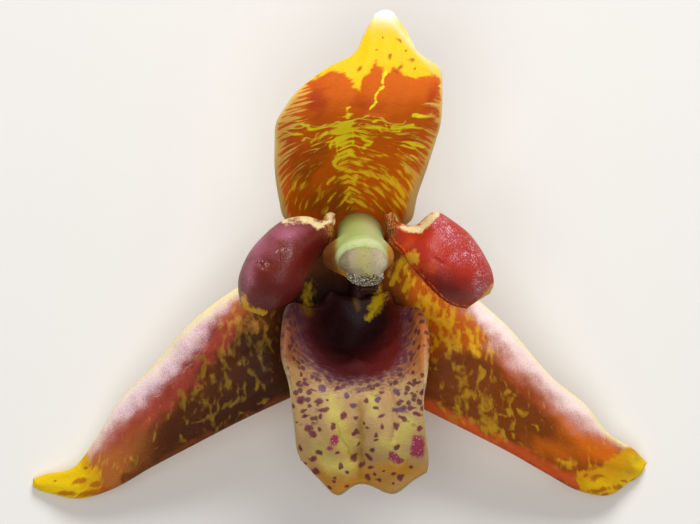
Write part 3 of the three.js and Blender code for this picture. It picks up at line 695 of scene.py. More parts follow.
class SepalSettings(bpy.types.PropertyGroup):
    """Sizes and colours of the three sepals"""

    thickness: length_property("Thickness", "Fleshy middle of a sepal", 0.85, 2)
    margin: length_property("Margin", "Thickness near a sepal's rim", 0.5, 2)
    red: colour_property("Red", "Flush of the sepals' faces", "bc4410")
    orange: colour_property("Orange", "Lit ground of the dorsal sepal", "da660a")
    # Ground of the left lateral sepal, darkened as painted shade of its side away from the light.
    brown: colour_property("Brown", "Deep ground of the lateral sepals", "512508")
    yellow: colour_property("Yellow", "Net, blotches and tips", "eec80c")
    cream: colour_property("Cream", "Margins", "f6e6a2")
    # Pale upper margins of the lateral sepals: partly their own colour, partly painted glare where
    # the rolled margins face the light.
    pink_and_glare: colour_property("Pink", "Pale flush along the upper margins", "fbe4de")
    back: colour_property("Back", "Outside of the sepals", "cf9a48")
    roughness: share_property("Roughness", "How dull the sepals' skin is", 0.5)


class PetalSettings(bpy.types.PropertyGroup):
    """Sizes and colours of the two petals"""

    thickness: length_property("Thickness", "Fleshy middle of a petal", 0.8, 2)
    margin: length_property("Margin", "Thickness near a petal's rim", 0.5, 2)
    crimson: colour_property("Crimson", "Ground of the right petal", "b42c18")
    plum: colour_property("Plum", "Ground of the left petal", "78281c")
    # Deep red of the petals' lower sides: painted shade.
    deep: colour_property("Deep red", "Lower side of both petals", "65160f")
    # Mauve of the petals' shoulders, partly painted sheen where they face the light.
    mauve: colour_property("Mauve", "Shoulders of the petals", "b0647c")
    cream: colour_property("Cream", "Rims", "f0dca6")
    roughness: share_property("Roughness", "How dull the petals' skin is", 0.42)


class LipSettings(bpy.types.PropertyGroup):
    """Sizes and colours of the lip"""

    thickness: length_property("Thickness", "Fleshy middle of the lip", 0.9, 2)
    margin: length_property("Margin", "Thickness near the lip's rim", 0.6, 2)
    tan: colour_property("Tan", "Ground of the lip", "b59260")
    # Pale yellow of the blade's swellings, partly painted light on their lit tops.
    lemon: colour_property("Lemon", "Lit swellings of the blade", "c6b45c")
    ochre: colour_property("Ochre", "Apex and folds", "b57e26")
    orange: colour_property("Orange", "Side lobes", "b4601e")
    maroon: colour_property("Maroon", "Throat", "2a0a0c")
    spot: colour_property("Spots", "Spots of the blade", "74303c")
    magenta: colour_property("Magenta", "Largest spots", "9c1d50")
    violet: colour_property("Violet", "Wash between throat and blade", "583048")
    roughness: share_property("Roughness", "How dull the lip's skin is", 0.46)


class ColumnSettings(bpy.types.PropertyGroup):
    """Colours of the column, its cap and the viscidium"""

    green: colour_property("Green", "Column", "a8bc6a")
    pale: colour_property("Pale", "Rim round the cap", "dcdcb6")
    amber: colour_property("Amber", "Wings of the column", "bc8024")
    olive: colour_property("Olive", "Keel of the cap", "a8a06a")
    lilac: colour_property("Lilac", "Sides of the cap", "a8987e")
    brown: colour_property("Brown", "Viscidium", "2a1008")
    granule: length_property("Granule", "Height of the cap's grains", 0.06, 0.3)


class StalkSettings(bpy.types.PropertyGroup):
    """Sizes and colours of the ovary and its stalk"""

    rib: length_property("Rib", "Height of the ovary's ribs", 0.07, 0.4)
    green: colour_property("Green", "Ovary", "8b9a48")
    flush: colour_property("Flush", "Reddish flush of the stalk", "99643a")
    cut: colour_property("Cut", "Cut end of the stalk", "c6c88a")


class StageSettings(bpy.types.PropertyGroup):
    """Floor and lights"""

    floor: colour_property("Floor", "Plain surface under the bloom", "efede8")
    key: power_property("Key light", "Soft light beyond the bloom's top", 0.78)
    fill: power_property("Fill light", "Soft light over the bloom", 0.5)


# Shapes
def unit(vectors):
    return vectors / np.maximum(np.linalg.norm(vectors, axis=-1, keepdims=True), 1e-9)


def bump(offset, width):
    return np.exp(-((offset / width) ** 2))


def smooth(value, low, high):
    """0 below low, 1 above high, and smooth between them. low may be the larger."""
    t = np.clip((value - low) / (high - low), 0, 1)
    return t * t * (3 - 2 * t)


def smooth_line(points, along):
    """Points at along, 0 to 1, on the smooth line through the given points."""
    points = np.asarray(points, float)
    ends = np.vstack([2 * points[0] - points[1], points, 2 * points[-1] - points[-2]])
    place = np.clip(along, 0, 1) * (len(points) - 1)
    first = np.minimum(place.astype(int), len(points) - 2)
    t = (place - first)[:, None]
    before, start, end, after = (ends[first + k] for k in range(4))
    leave = 0.5 * (end - before)
    arrive = 0.5 * (after - start)
    square = (-3 * start + 3 * end - 2 * leave - arrive) * t ** 2
    cube = (2 * start - 2 * end + leave + arrive) * t ** 3
    return start + leave * t + square + cube


def lip_tip(along, across):
    """How far the lip's lobes reach past the notch between them."""
    near_tip = np.maximum(0, (along - LIP_TIP_START) / (1 - LIP_TIP_START)) ** 2
    return near_tip * sum(reach * bump(across - at, width) for reach, at, width in LIP_TIP_LOBES)


def blade_surface(blade):
    """A blade's face as grids: its points and normals, and how far each lies from every edge."""
    rows, columns = blade["steps"]
    along = np.linspace(0, 1, rows + 1)
    even = np.linspace(-1, 1, columns + 1)
    across = EVEN_SHARE * even + (1 - EVEN_SHARE) * np.sin(even * math.pi / 2)
    across = across[None, :, None]
    left, crown, right = (smooth_line(blade[k], along)[:, None] for k in ("left", "crown", "right"))
    side = unit(right - left)
    left, right = left - EDGE_GROWTH * side, right + EDGE_GROWTH * side
    tiny = 1e-4
    ahead = smooth_line(blade["crown"], along + tiny) - smooth_line(blade["crown"], along - tiny)
    ahead = unit(ahead)[:, None]
    to_edge = np.where(across < 0, left, right) - crown
    sideways = side * (to_edge * side).sum(-1, keepdims=True)
    depth = to_edge - sideways
    curl = np.where(across < 0, blade["curl"][0], blade["curl"][1])
    base_curl = blade.get("base_curl", curl)
    curled = smooth(along, *CURL_SPAN)[:, None, None]
    curl = np.radians(base_curl + (curl - base_curl) * curled)
    reach = np.minimum(curl, math.pi / 2)
    angle = np.abs(across) * curl
    points = crown + sideways * np.sin(angle) / np.sin(reach)
    points = points + depth * (1 - np.cos(angle)) / (1 - np.cos(reach))
    points = points + ahead * TIP_GROWTH * smooth(along, TIP_GROWTH_START, 1)[:, None, None]
    if blade.get("lobed"):
        points = points + ahead * lip_tip(along[:, None, None], across)
    down, over = np.gradient(points, axis=0), np.gradient(points, axis=1)
    lengths = np.linalg.norm(np.diff(points, axis=1), axis=-1)
    from_left = np.hstack([np.zeros((rows + 1, 1)), np.cumsum(lengths, axis=1)])
    lengths = np.linalg.norm(np.diff(points, axis=0), axis=-1)
    from_base = np.vstack([np.zeros((1, columns + 1)), np.cumsum(lengths, axis=0)])
    across_mm = from_left - from_left[:, columns // 2][:, None]
    fan_base, fan_tip = blade.get("fan", (0, 0))
    fan = fan_base + (fan_tip - fan_base) * smooth(along, 0, FAN_END)[:, None]
    from_right = from_left[:, -1:] - from_left
    return {
        "points": points,
        "normals": unit(np.cross(over, down)),
        "along": along[:, None] + 0 * from_left,
        "across": across[0, :, 0][None] + 0 * from_left,
        "side_distance": np.minimum(from_left, from_right),
        "from_left": from_left,
        "from_right": from_right,
        "from_tip": from_base[-1:] - from_base,
        "from_base": from_base,
        "across_mm": across_mm,
        "flow": from_base + fan * np.abs(across_mm),
    }


def in_view(points):
    """Where points, in millimetres of the bloom, show in the view from above, in its pixels."""
    shown = points * MM
    focal = CAMERA_LENS / CAMERA_SENSOR * VIEW_WIDTH
    scale = focal / (CAMERA_PLACE[2] - shown[..., 2])
    x = VIEW_WIDTH / 2 + (shown[..., 0] - CAMERA_PLACE[0]) * scale
    y = VIEW_HEIGHT / 2 - (shown[..., 1] - CAMERA_PLACE[1]) * scale
    return x, y


def nowhere(view):
    """The mask of marks that a blade doesn't have."""
    return np.full(view[0].shape, -1.0)


def turned(view, middle_x, middle_y, half_width, half_height, turn=0):
    """Offsets from the middle of a turned mark along its two axes, 1 at its edge."""
    angle = math.radians(turn)
    dx, dy = view[0] - middle_x, view[1] - middle_y
    over = (dx * math.cos(angle) - dy * math.sin(angle)) / half_width
    up = (dx * math.sin(angle) + dy * math.cos(angle)) / half_height
    return over, up


def segment_distance(view, start, end):
    """Distance of the view's places from the straight line between two points."""
    x, y = view[0] - start[0], view[1] - start[1]
    dx, dy = end[0] - start[0], end[1] - start[1]
    t = np.clip((x * dx + y * dy) / (dx * dx + dy * dy), 0, 1)
    return np.hypot(x - t * dx, y - t * dy)


def spots(view, marks):
    """1 at the middle of each spot, 0 at its edge and below 0 outside it."""
    field = nowhere(view)
    for mark in marks:
        field = np.maximum(field, 1 - np.hypot(*turned(view, *mark)))
    return field


def glow(view, marks):
    """Sum of soft round patches, each as strong as its last number."""
    field = np.zeros(view[0].shape)
    for *mark, strength in marks:
        over, up = turned(view, *mark)
        field = field + strength * np.exp(-(over ** 2 + up ** 2))
    return field


def strokes(view, marks):
    """1 along each brush stroke, 0 at its edge and below 0 outside it."""
    field = nowhere(view)
    for half_width, *path in marks:
        for start, end in zip(path, path[1:]):
            field = np.maximum(field, 1 - segment_distance(view, start, end) / half_width)
    return field


def wider(marks, share):
    """Brush strokes with their half widths multiplied by share."""
    return [(share * half_width, *path) for half_width, *path in marks]


def region(view, outline, soft):
    """1 inside a closed outline, -1 outside it, turning over soft pixels on each side of it."""
    x, y = view
    nearest = np.full(x.shape, np.inf)
    inside = np.zeros(x.shape, bool)
    for start, end in zip(outline, [*outline[1:], outline[0]]):
        nearest = np.minimum(nearest, segment_distance(view, start, end))
        (ax, ay), (bx, by) = start, end
        if ay != by:
            inside ^= ((ay > y) != (by > y)) & (x < ax + (y - ay) / (by - ay) * (bx - ax))
    return np.clip(np.where(inside, nearest, -nearest) / soft, -1, 1)


def wander(view, seed, reach, size):
    """The view with every place moved a little, so that marks lose their straight edges."""
    draw = np.random.default_rng(seed)
    x, y = view
    moves = [0, 0]
    for k in range(WANDER_WAVES):
        turn = draw.uniform(0, 2 * math.pi)
        ahead = x * math.cos(turn) + y * math.sin(turn)
        wave = ahead * 2 * math.pi / (size * draw.uniform(0.5, 2))
        moves[k % 2] = moves[k % 2] + np.sin(wave + draw.uniform(0, 2 * math.pi)) * reach / 2
    return x + moves[0], y + moves[1]


def ripple(surface, seed, lowest=0.6, highest=2.6):
    """Gentle unevenness of living tissue, about -1 to 1, over a blade's face."""
    draw = np.random.default_rng(seed)
    turns = draw.uniform(0, 2 * math.pi, RIPPLE_WAVES)
    speeds = draw.uniform(lowest, highest, RIPPLE_WAVES)
    phases = draw.uniform(0, 2 * math.pi, RIPPLE_WAVES)
    total = 0
    for fast_across, fast_along, phase in zip(
            np.cos(turns) * speeds, np.sin(turns) * speeds, phases):
        total = total + np.sin(
            surface["across_mm"] * fast_across + surface["from_base"] * fast_along + phase)
    return total / math.sqrt(RIPPLE_WAVES)


def veins(surface, spacing):
    return VEIN_HEIGHT * np.cos(surface["across_mm"] * 2 * math.pi / spacing)


def blade_piece(node, blade, settings, relief, paint):
    """Closed blade with rounded rims. relief lifts its face and paint gives its finish's masks."""
    thickness, margin = settings.thickness / MM, settings.margin / MM
    surface = blade_surface(blade)
    across = surface["across"]
    thick = margin + (thickness - margin) * (1 - across ** 2)
    inset = np.minimum(surface["side_distance"], surface["from_tip"])
    inset = np.minimum(inset, surface["from_base"])
    rounding = np.clip(inset / (ROUNDING_SHARE * thick), 0, 1)
    fullness = np.sqrt(1 - (1 - rounding) ** 2)
    view = in_view(surface["points"])
    lift = relief(surface, view) * smooth(inset, 0, RELIEF_START)
    face_offset = lift - 0.5 * thick * (1 - fullness)
    back_offset = BACK_LIFT_SHARE * lift - thick + 0.5 * thick * (1 - fullness)
    back_offset = np.where(inset <= 0, face_offset, np.minimum(back_offset, face_offset))
    face = surface["points"] + surface["normals"] * face_offset[..., None]
    back = surface["points"] + surface["normals"] * back_offset[..., None]
    rows, columns = across.shape
    face_index = np.arange(across.size).reshape(across.shape)
    back_index = face_index.copy()
    inner = np.arange((rows - 2) * (columns - 2)).reshape(rows - 2, columns - 2)
    back_index[1:-1, 1:-1] = across.size + inner
    vertices = np.vstack([face.reshape(-1, 3), back[1:-1, 1:-1].reshape(-1, 3)])
    vertices[:, 2] = np.maximum(vertices[:, 2], CLEARANCE)

    def quads(index, corners):
        return np.stack([index[a][:, b].reshape(-1) for a, b in corners], axis=1)

    near, far = slice(0, -1), slice(1, None)
    face_quads = quads(face_index, [(near, near), (near, far), (far, far), (far, near)])
    back_quads = quads(back_index, [(near, near), (far, near), (far, far), (near, far)])

    def both(values, back_values=None):
        again = values if back_values is None else back_values
        return np.concatenate([values.reshape(-1), again[1:-1, 1:-1].reshape(-1)])

    masks = {key: both(value) for key, value in paint(surface, view).items()}
    outside = smooth(inset, *blade.get("outside", OUTSIDE_SPAN))
    masks["outside"] = both(np.zeros(across.shape), outside)
    masks["rim_distance"] = both(np.minimum(surface["side_distance"], surface["from_tip"]))
    place = np.stack([both(surface["across_mm"]), both(surface["flow"]), both(0 * across)], 1)
    return make_piece(f"{node}_blade", vertices, np.vstack([face_quads, back_quads]), masks, place)


def make_piece(name, vertices, quads, masks, place=None):
    """Smooth mesh object from points in millimetres, with one attribute for each mask."""
    place = vertices if place is None else place
    mesh = bpy.data.meshes.new(name)
    mesh.vertices.add(len(vertices))
    mesh.vertices.foreach_set("co", (vertices * MM).astype(np.float32).ravel())
    mesh.loops.add(quads.size)
    mesh.loops.foreach_set("vertex_index", quads.astype(np.int32).ravel())
    mesh.polygons.add(len(quads))
    starts = np.arange(0, quads.size, quads.shape[1], dtype=np.int32)
    mesh.polygons.foreach_set("loop_start", starts)
    mesh.update(calc_edges=True)
    mesh.validate()
    mesh.shade_smooth()
    for key, values in masks.items():
        attribute = mesh.attributes.new(key, "FLOAT", "POINT")
        attribute.data.foreach_set("value", values.astype(np.float32))
    attribute = mesh.attributes.new("place", "FLOAT_VECTOR", "POINT")
    attribute.data.foreach_set("vector", place.astype(np.float32).ravel())
    piece = bpy.data.objects.new(name, mesh)
    bpy.context.scene.collection.objects.link(piece)
    return piece


def around(points):
    """Angles of points spaced evenly round a ring."""
    return np.arange(points) * 2 * math.pi / points


def tube_quads(rings, count):
    """Quads between rings of points that follow each other."""
    ring = np.arange(count)
    band = np.stack([ring, np.roll(ring, -1), count + np.roll(ring, -1), count + ring], 1)
    return np.vstack([k * count + band for k in range(rings - 1)])


def join(forms):
    """Several forms as one. Each is its vertices and its quads."""
    starts = np.cumsum([0, *(len(vertices) for vertices, _ in forms)])
    quads = [quads + start for (_, quads), start in zip(forms, starts)]
    return np.vstack([vertices for vertices, _ in forms]), np.vstack(quads)


def attach(piece, node, material):
    piece.data.materials.append(material)
    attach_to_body(piece, "root")
    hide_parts(node)
    return piece


# Finishes
class Finish:
    """A surface built as layers of colour laid over each other."""

    def __init__(self, name):
        self.material = bpy.data.materials.new(name)
        self.material.use_nodes = True
        self.tree = self.material.node_tree
        self.shader = self.tree.nodes["Principled BSDF"]

    def add(self, kind, **values):
        node = self.tree.nodes.new(kind)
        for key, value in values.items():
            setattr(node, key, value)
        return node

    def feed(self, socket, value):
        """Links a socket to another node's output, or sets it to a plain number or colour."""
        if isinstance(value, bpy.types.NodeSocket):
            self.tree.links.new(value, socket)
        else:
            socket.default_value = value if isinstance(value, (int, float)) else tuple(value)

    def mask(self, name):
        return self.add("ShaderNodeAttribute", attribute_name=name).outputs["Fac"]

    def scaled(self, source, factors, seed):
        """A place multiplied by factors, and shifted so that every seed gives its own pattern."""
        node = self.add("ShaderNodeVectorMath", operation="MULTIPLY_ADD")
        self.feed(node.inputs[0], source)
        node.inputs[1].default_value = factors
        node.inputs[2].default_value = [seed * step for step in SEED_STEPS]
        return node.outputs["Vector"]

    def place(self, across, along, seed):
        """The blade's own measure, with across and along as the size of one feature in mm."""
        source = self.add("ShaderNodeAttribute", attribute_name="place").outputs["Vector"]
        return self.scaled(source, (1 / across, 1 / along, 1.0), seed)

    def body(self, size, seed):
        """Position on the piece, for a pattern whose features are size mm wide."""
        source = self.add("ShaderNodeTexCoord").outputs["Object"]
        return self.scaled(source, (1 / (size * MM),) * 3, seed)

    def noise(self, vector, detail=3.0, roughness=0.55):
        node = self.add("ShaderNodeTexNoise")
        self.feed(node.inputs["Vector"], vector)
        node.inputs["Scale"].default_value = 1.0
        node.inputs["Detail"].default_value = detail
        node.inputs["Roughness"].default_value = roughness
        spread = self.add("ShaderNodeMapRange", clamp=False)
        self.feed(spread.inputs["Value"], node.outputs["Fac"])
        spread.inputs["From Min"].default_value = NOISE_RANGE[0]
        spread.inputs["From Max"].default_value = NOISE_RANGE[1]
        return spread.outputs["Result"]

    def cells(self, vector, feature="F1", randomness=1.0):
        node = self.add("ShaderNodeTexVoronoi", feature=feature)
        self.feed(node.inputs["Vector"], vector)
        node.inputs["Scale"].default_value = 1.0
        node.inputs["Randomness"].default_value = randomness
        return node.outputs["Distance"]

    def sum(self, value, *extras):
        """value plus each extra pattern times its amount, the pattern taken about its middle."""
        for pattern, amount in extras:
            centred = self.add("ShaderNodeMath", operation="SUBTRACT")
            self.feed(centred.inputs[0], pattern)
            centred.inputs[1].default_value = 0.5
            scaled = self.add("ShaderNodeMath", operation="MULTIPLY_ADD")
            self.feed(scaled.inputs[0], centred.outputs[0])
            scaled.inputs[1].default_value = amount
            self.feed(scaled.inputs[2], value)
            value = scaled.outputs[0]
        return value

    def step(self, value, low, high, top=1.0):
        """0 below low, top above high, and smooth between them. low may be the larger."""
        flipped = low > high
        node = self.add("ShaderNodeMapRange", interpolation_type="SMOOTHSTEP")
        self.feed(node.inputs["Value"], value)
        node.inputs["From Min"].default_value = high if flipped else low
        node.inputs["From Max"].default_value = low if flipped else high
        node.inputs["To Min"].default_value = top if flipped else 0.0
        node.inputs["To Max"].default_value = 0.0 if flipped else top
        return node.outputs["Result"]

    def blend(self, first, second, factor):
        """The value first, turning into the value second where factor is 1."""
        node = self.add("ShaderNodeMix", data_type="FLOAT")
        self.feed(node.inputs[0], factor)
        self.feed(node.inputs[2], first)
        self.feed(node.inputs[3], second)
        return node.outputs[0]

    def times(self, first, second):
        node = self.add("ShaderNodeMath", operation="MULTIPLY")
        self.feed(node.inputs[0], first)
        self.feed(node.inputs[1], second)
        return node.outputs[0]

    def lay(self, under, over, factor):
        """The colour under, covered by the colour over where factor is 1."""
        node = self.add("ShaderNodeMix", data_type="RGBA")
        self.feed(node.inputs[0], factor)
        self.feed(node.inputs[6], under)
        self.feed(node.inputs[7], over)
        return node.outputs[2]

    def area(self, mask, extras, low, high, top=1.0):
        """How far a mask covers, with its edge broken up by extra patterns and their amounts."""
        return self.step(self.sum(self.mask(mask), *extras), low, high, top)

    def cover(self, under, over, *area):
        """The colour under, covered by the colour over on an area."""
        return self.lay(under, over, self.area(*area))

    def relief(self, height, distance, strength, under=None):
        """Bump of a height in mm, over the bump under it."""
        node = self.add("ShaderNodeBump")
        self.feed(node.inputs["Height"], height)
        node.inputs["Distance"].default_value = distance * MM
        node.inputs["Strength"].default_value = strength
        if under is not None:
            self.feed(node.inputs["Normal"], under)
        return node.outputs["Normal"]

    def papillae(self, size=0.1, depth=0.014):
        """The fine beaded skin of the bloom, over a slightly uneven one."""
        uneven = self.relief(self.noise(self.body(0.6, 3), detail=2), 0.02, 0.6)
        beads = self.cells(self.body(size, 5), feature="SMOOTH_F1")
        return self.relief(self.step(beads, 0.75, 0.05), depth, 0.7, uneven)

    def done(self, colour, normal=None, roughness=0.5, body=0.25, depth=0.5, coat=0.0, shine=0.14):
        """The material. body is the share of light that goes into the tissue, depth mm deep."""
        inputs = self.shader.inputs
        self.feed(inputs["Base Color"], colour)
        if normal is not None:
            self.feed(inputs["Normal"], normal)
        inputs["Roughness"].default_value = roughness
        inputs["Subsurface Weight"].default_value = body
        inputs["Subsurface Radius"].default_value = TISSUE_SCATTER
        inputs["Subsurface Scale"].default_value = depth * MM
        inputs["Specular IOR Level"].default_value = shine
        inputs["Coat Weight"].default_value = coat
        inputs["Coat Roughness"].default_value = COAT_ROUGHNESS
        return self.material


def outside_colour(finish, face, settings):
    """Lays the plainer colour of a sepal's outside over its face's colours."""
    veins = finish.noise(finish.place(0.5, 5.0, 2))
    outer = finish.lay(settings.back, settings.red, finish.step(veins, 0.45, 0.75, 0.75))
    outer = finish.cover(outer, settings.cream, "rim_distance", [], 0.7, 0.2)
    return finish.lay(face, outer, finish.mask("outside"))


def dorsal_finish(settings):
    finish = Finish("dorsal_sepal_tissue")
    ragged = finish.noise(finish.place(0.5, 0.3, 1))
    streak = finish.noise(finish.place(1.5, 0.34, 4), detail=2.5)
    blotch = finish.noise(finish.place(0.8, 0.4, 6), detail=2, roughness=0.5)
    comb = finish.noise(finish.place(1.9, 0.24, 9), detail=2)
    cloud = finish.noise(finish.place(1.3, 1.6, 8))
    low = finish.mask("low")
    patches = finish.blend(streak, blotch, low)
    colour = finish.cover(
        settings.orange, settings.red, "shade", [(cloud, 0.5), (streak, 0.3)], 0.0, 1.0, 0.9)
    colour = finish.cover(
        colour, DORSAL_TONES.brown, "brown", [(cloud, 0.4), (blotch, 0.4)], 0.1, 1.1, 0.8)
    colour = finish.cover(colour, DORSAL_TONES.comb_ground, "comb", [(cloud, 0.4)], 0.0, 1.0, 0.6)
    soft = finish.area("zone", [(blotch, 1.6)], -0.2, 0.7, 0.6)
    colour = finish.lay(colour, DORSAL_TONES.gold, finish.times(soft, low))
    yellow = finish.lay(DORSAL_TONES.net, DORSAL_TONES.net_low, low)
    colour = finish.cover(
        colour, yellow, "zone", [(patches, 1.7), (ragged, 0.4)], 0.15, 0.75, 0.95)
    colour = finish.cover(colour, yellow, "net", [(streak, 1.1), (ragged, 0.4)], 0.0, 0.8)
    colour = finish.cover(colour, settings.yellow, "tip", [(ragged, 0.7)], -0.3, 0.35)
    colour = finish.cover(colour, DORSAL_TONES.dots, "dots", [(ragged, 0.5)], -0.2, 0.7, 0.85)
    colour = finish.cover(
        colour, DORSAL_TONES.comb, "comb", [(comb, 2.4), (ragged, 0.4)], 0.35, 1.1, 0.9)
    pale_rim = finish.lay(DORSAL_TONES.rim, DORSAL_TONES.rim_low, low)
    colour = finish.cover(colour, pale_rim, "rim", [(streak, 0.5)], -0.3, 0.8)
    # Yellow along the crest ridges: partly their own yellow, partly painted highlight where each
    # ridge catches the light.
    colour = finish.cover(colour, DORSAL_TONES.crest, "crest", [(streak, 0.5)], 0.0, 0.9, 0.9)
    # Painted glare near the tip of the dorsal sepal.
    colour = finish.lay(colour, DORSAL_TONES.apex, finish.mask("apex"))
    colour = outside_colour(finish, colour, settings)
    return finish.done(colour, finish.papillae(), settings.roughness, body=0.3, depth=0.6)


def lateral_finish(name, settings, ground, tones):
    finish = Finish(name)
    ragged = finish.noise(finish.place(0.4, 0.32, 1))
    mottle = finish.noise(finish.place(0.62, 0.5, 4), detail=2.5, roughness=0.5)
    grain = finish.noise(finish.body(0.09, 4), detail=2)
    cloud = finish.noise(finish.place(1.3, 2.2, 8))
    speckle = finish.step(finish.cells(finish.body(0.12, 2)), 0.5, 0.25)
    warm = finish.area("warm", [(cloud, 0.5), (grain, 0.15)], -0.1, 1.1)
    colour = finish.lay(ground, tones.tint, warm)
    # Near-black ground, on the left sepal only, partly painted shade.
    colour = finish.cover(colour, LATERAL_TONES.deep, "ground", [(cloud, 0.4)], 0.1, 1.2, 0.7)
    colour = finish.cover(colour, tones.edge, "edge", [(cloud, 0.3)], -0.6, 0.7, 0.9)
    colour = finish.cover(
        colour, tones.flush, "red", [(cloud, 0.5), (grain, 0.3), (mottle, 0.5)], -0.3, 1.1, 0.85)
    blotch = finish.step(finish.sum(warm, (cloud, 0.4)), 0.1, 0.7)
    blotch = finish.lay(tones.dull, tones.bright, blotch)
    colour = finish.cover(colour, blotch, "dapple", [(mottle, 1.7)], 0.15, 0.95, 0.9)
    colour = finish.cover(
        colour, blotch, "net", [(ragged, 0.9), (mottle, 0.9)], -0.05, 1.1, 0.78)
    # Band along each upper margin, rose grading into pale pink: partly the margin's own pale
    # colour, partly painted glare.
    soft_band = [(cloud, 0.2), (grain, 0.3), (mottle, 0.15)]
    colour = finish.cover(colour, tones.rose, "band", soft_band, -0.75, 0.35, 0.75)
    colour = finish.cover(colour, settings.pink_and_glare, "band", soft_band, -0.3, 0.75)
    violet = finish.area("lavender", [(cloud, 0.5), (grain, 0.3)], -0.6, 1.0)
    colour = finish.lay(colour, tones.fringe, finish.times(violet, 0.5))
    speckle = finish.times(speckle, finish.times(violet, 0.4))
    colour = finish.lay(colour, LATERAL_TONES.speckle, speckle)
    colour = finish.cover(colour, settings.cream, "rim", [(cloud, 0.3)], -0.6, 1.0)
    # Near-black throat by the column foot: the bloom's own maroon there, deepened with painted
    # shade.
    colour = finish.cover(colour, LATERAL_TONES.throat, "throat", [(cloud, 0.2)], 0.25, 1.15)
    colour = finish.cover(colour, LATERAL_TONES.patch, "patch", [(ragged, 0.6)], -0.1, 0.7, 0.8)
    tip = finish.cover(
        settings.yellow, LATERAL_TONES.tip_end, "tip_end", [(cloud, 0.8)], 0.6, -0.2, 0.75)
    colour = finish.cover(colour, tip, "tip", [(ragged, 0.9), (mottle, 1.0)], -0.5, 0.5)
    colour = finish.cover(colour, LATERAL_TONES.dots, "dots", [(ragged, 0.9)], -0.35, 0.5, 0.8)
    colour = finish.cover(colour, LATERAL_TONES.crease, "crease", [], 0.1, 1.0, 0.35)
    colour = outside_colour(finish, colour, settings)
    return finish.done(colour, finish.papillae(0.11, 0.02), settings.roughness, body=0.3, depth=0.6)


def petal_finish(name, settings, ground):
    finish = Finish(name)
    ragged = finish.noise(finish.place(0.3, 0.3, 1), detail=4, roughness=0.6)
    cloud = finish.noise(finish.place(1.2, 1.2, 8), detail=4)
    streak = finish.noise(finish.body(0.2, 5))
    speckle = finish.step(finish.sum(finish.cells(finish.body(0.1, 2)), (ragged, 0.6)), 0.5, 0.15)
    # Painted shade towards the lower side of each petal.
    colour = finish.cover(ground, settings.deep, "deep", [(cloud, 0.6)], -0.8, 0.9, 0.9)
    # Mauve on the shoulders, partly painted sheen.
    colour = finish.cover(colour, settings.mauve, "mauve", [(cloud, 0.6)], -0.5, 1.1, 0.8)
    # Fine pale specks on the shoulders: painted sparkle of highlights.
    pale = finish.area("pale", [(cloud, 0.7)], -0.4, 0.9, 0.75)
    colour = finish.lay(colour, PETAL_TONES.glitter, finish.times(pale, speckle))
    colour = finish.cover(colour, PETAL_TONES.warm, "warm", [(ragged, 0.7)], -0.3, 0.9, 0.7)
    claw = finish.lay(PETAL_TONES.claw, PETAL_TONES.claw_streak, finish.step(streak, 0.3, 0.7))
    colour = finish.cover(colour, claw, "claw", [(ragged, 0.8)], 0.2, 1.0)
    colour = finish.cover(colour, settings.cream, "rim", [(ragged, 0.7)], -0.1, 0.7)
    colour = finish.cover(colour, PETAL_TONES.gold, "gold", [(ragged, 0.8)], 0.0, 0.6, 0.95)
    # Thin orange lines along the right petal's curled lower rim: partly its own colour, partly
    # painted highlight where the rim catches the light.
    colour = finish.cover(colour, PETAL_TONES.line, "line", [(ragged, 1.4)], 0.1, 0.9, 0.9)
    colour = finish.cover(colour, PETAL_TONES.dots, "dots", [(ragged, 0.6)], -0.05, 0.3, 0.8)
    outer = finish.lay(PETAL_TONES.outside, ground, finish.step(ragged, 0.4, 0.6, 0.7))
    colour = finish.lay(colour, outer, finish.mask("outside"))
    return finish.done(
        colour, finish.papillae(0.1, 0.026), settings.roughness, body=0.25, depth=0.6, coat=0.06,
        shine=0.3)


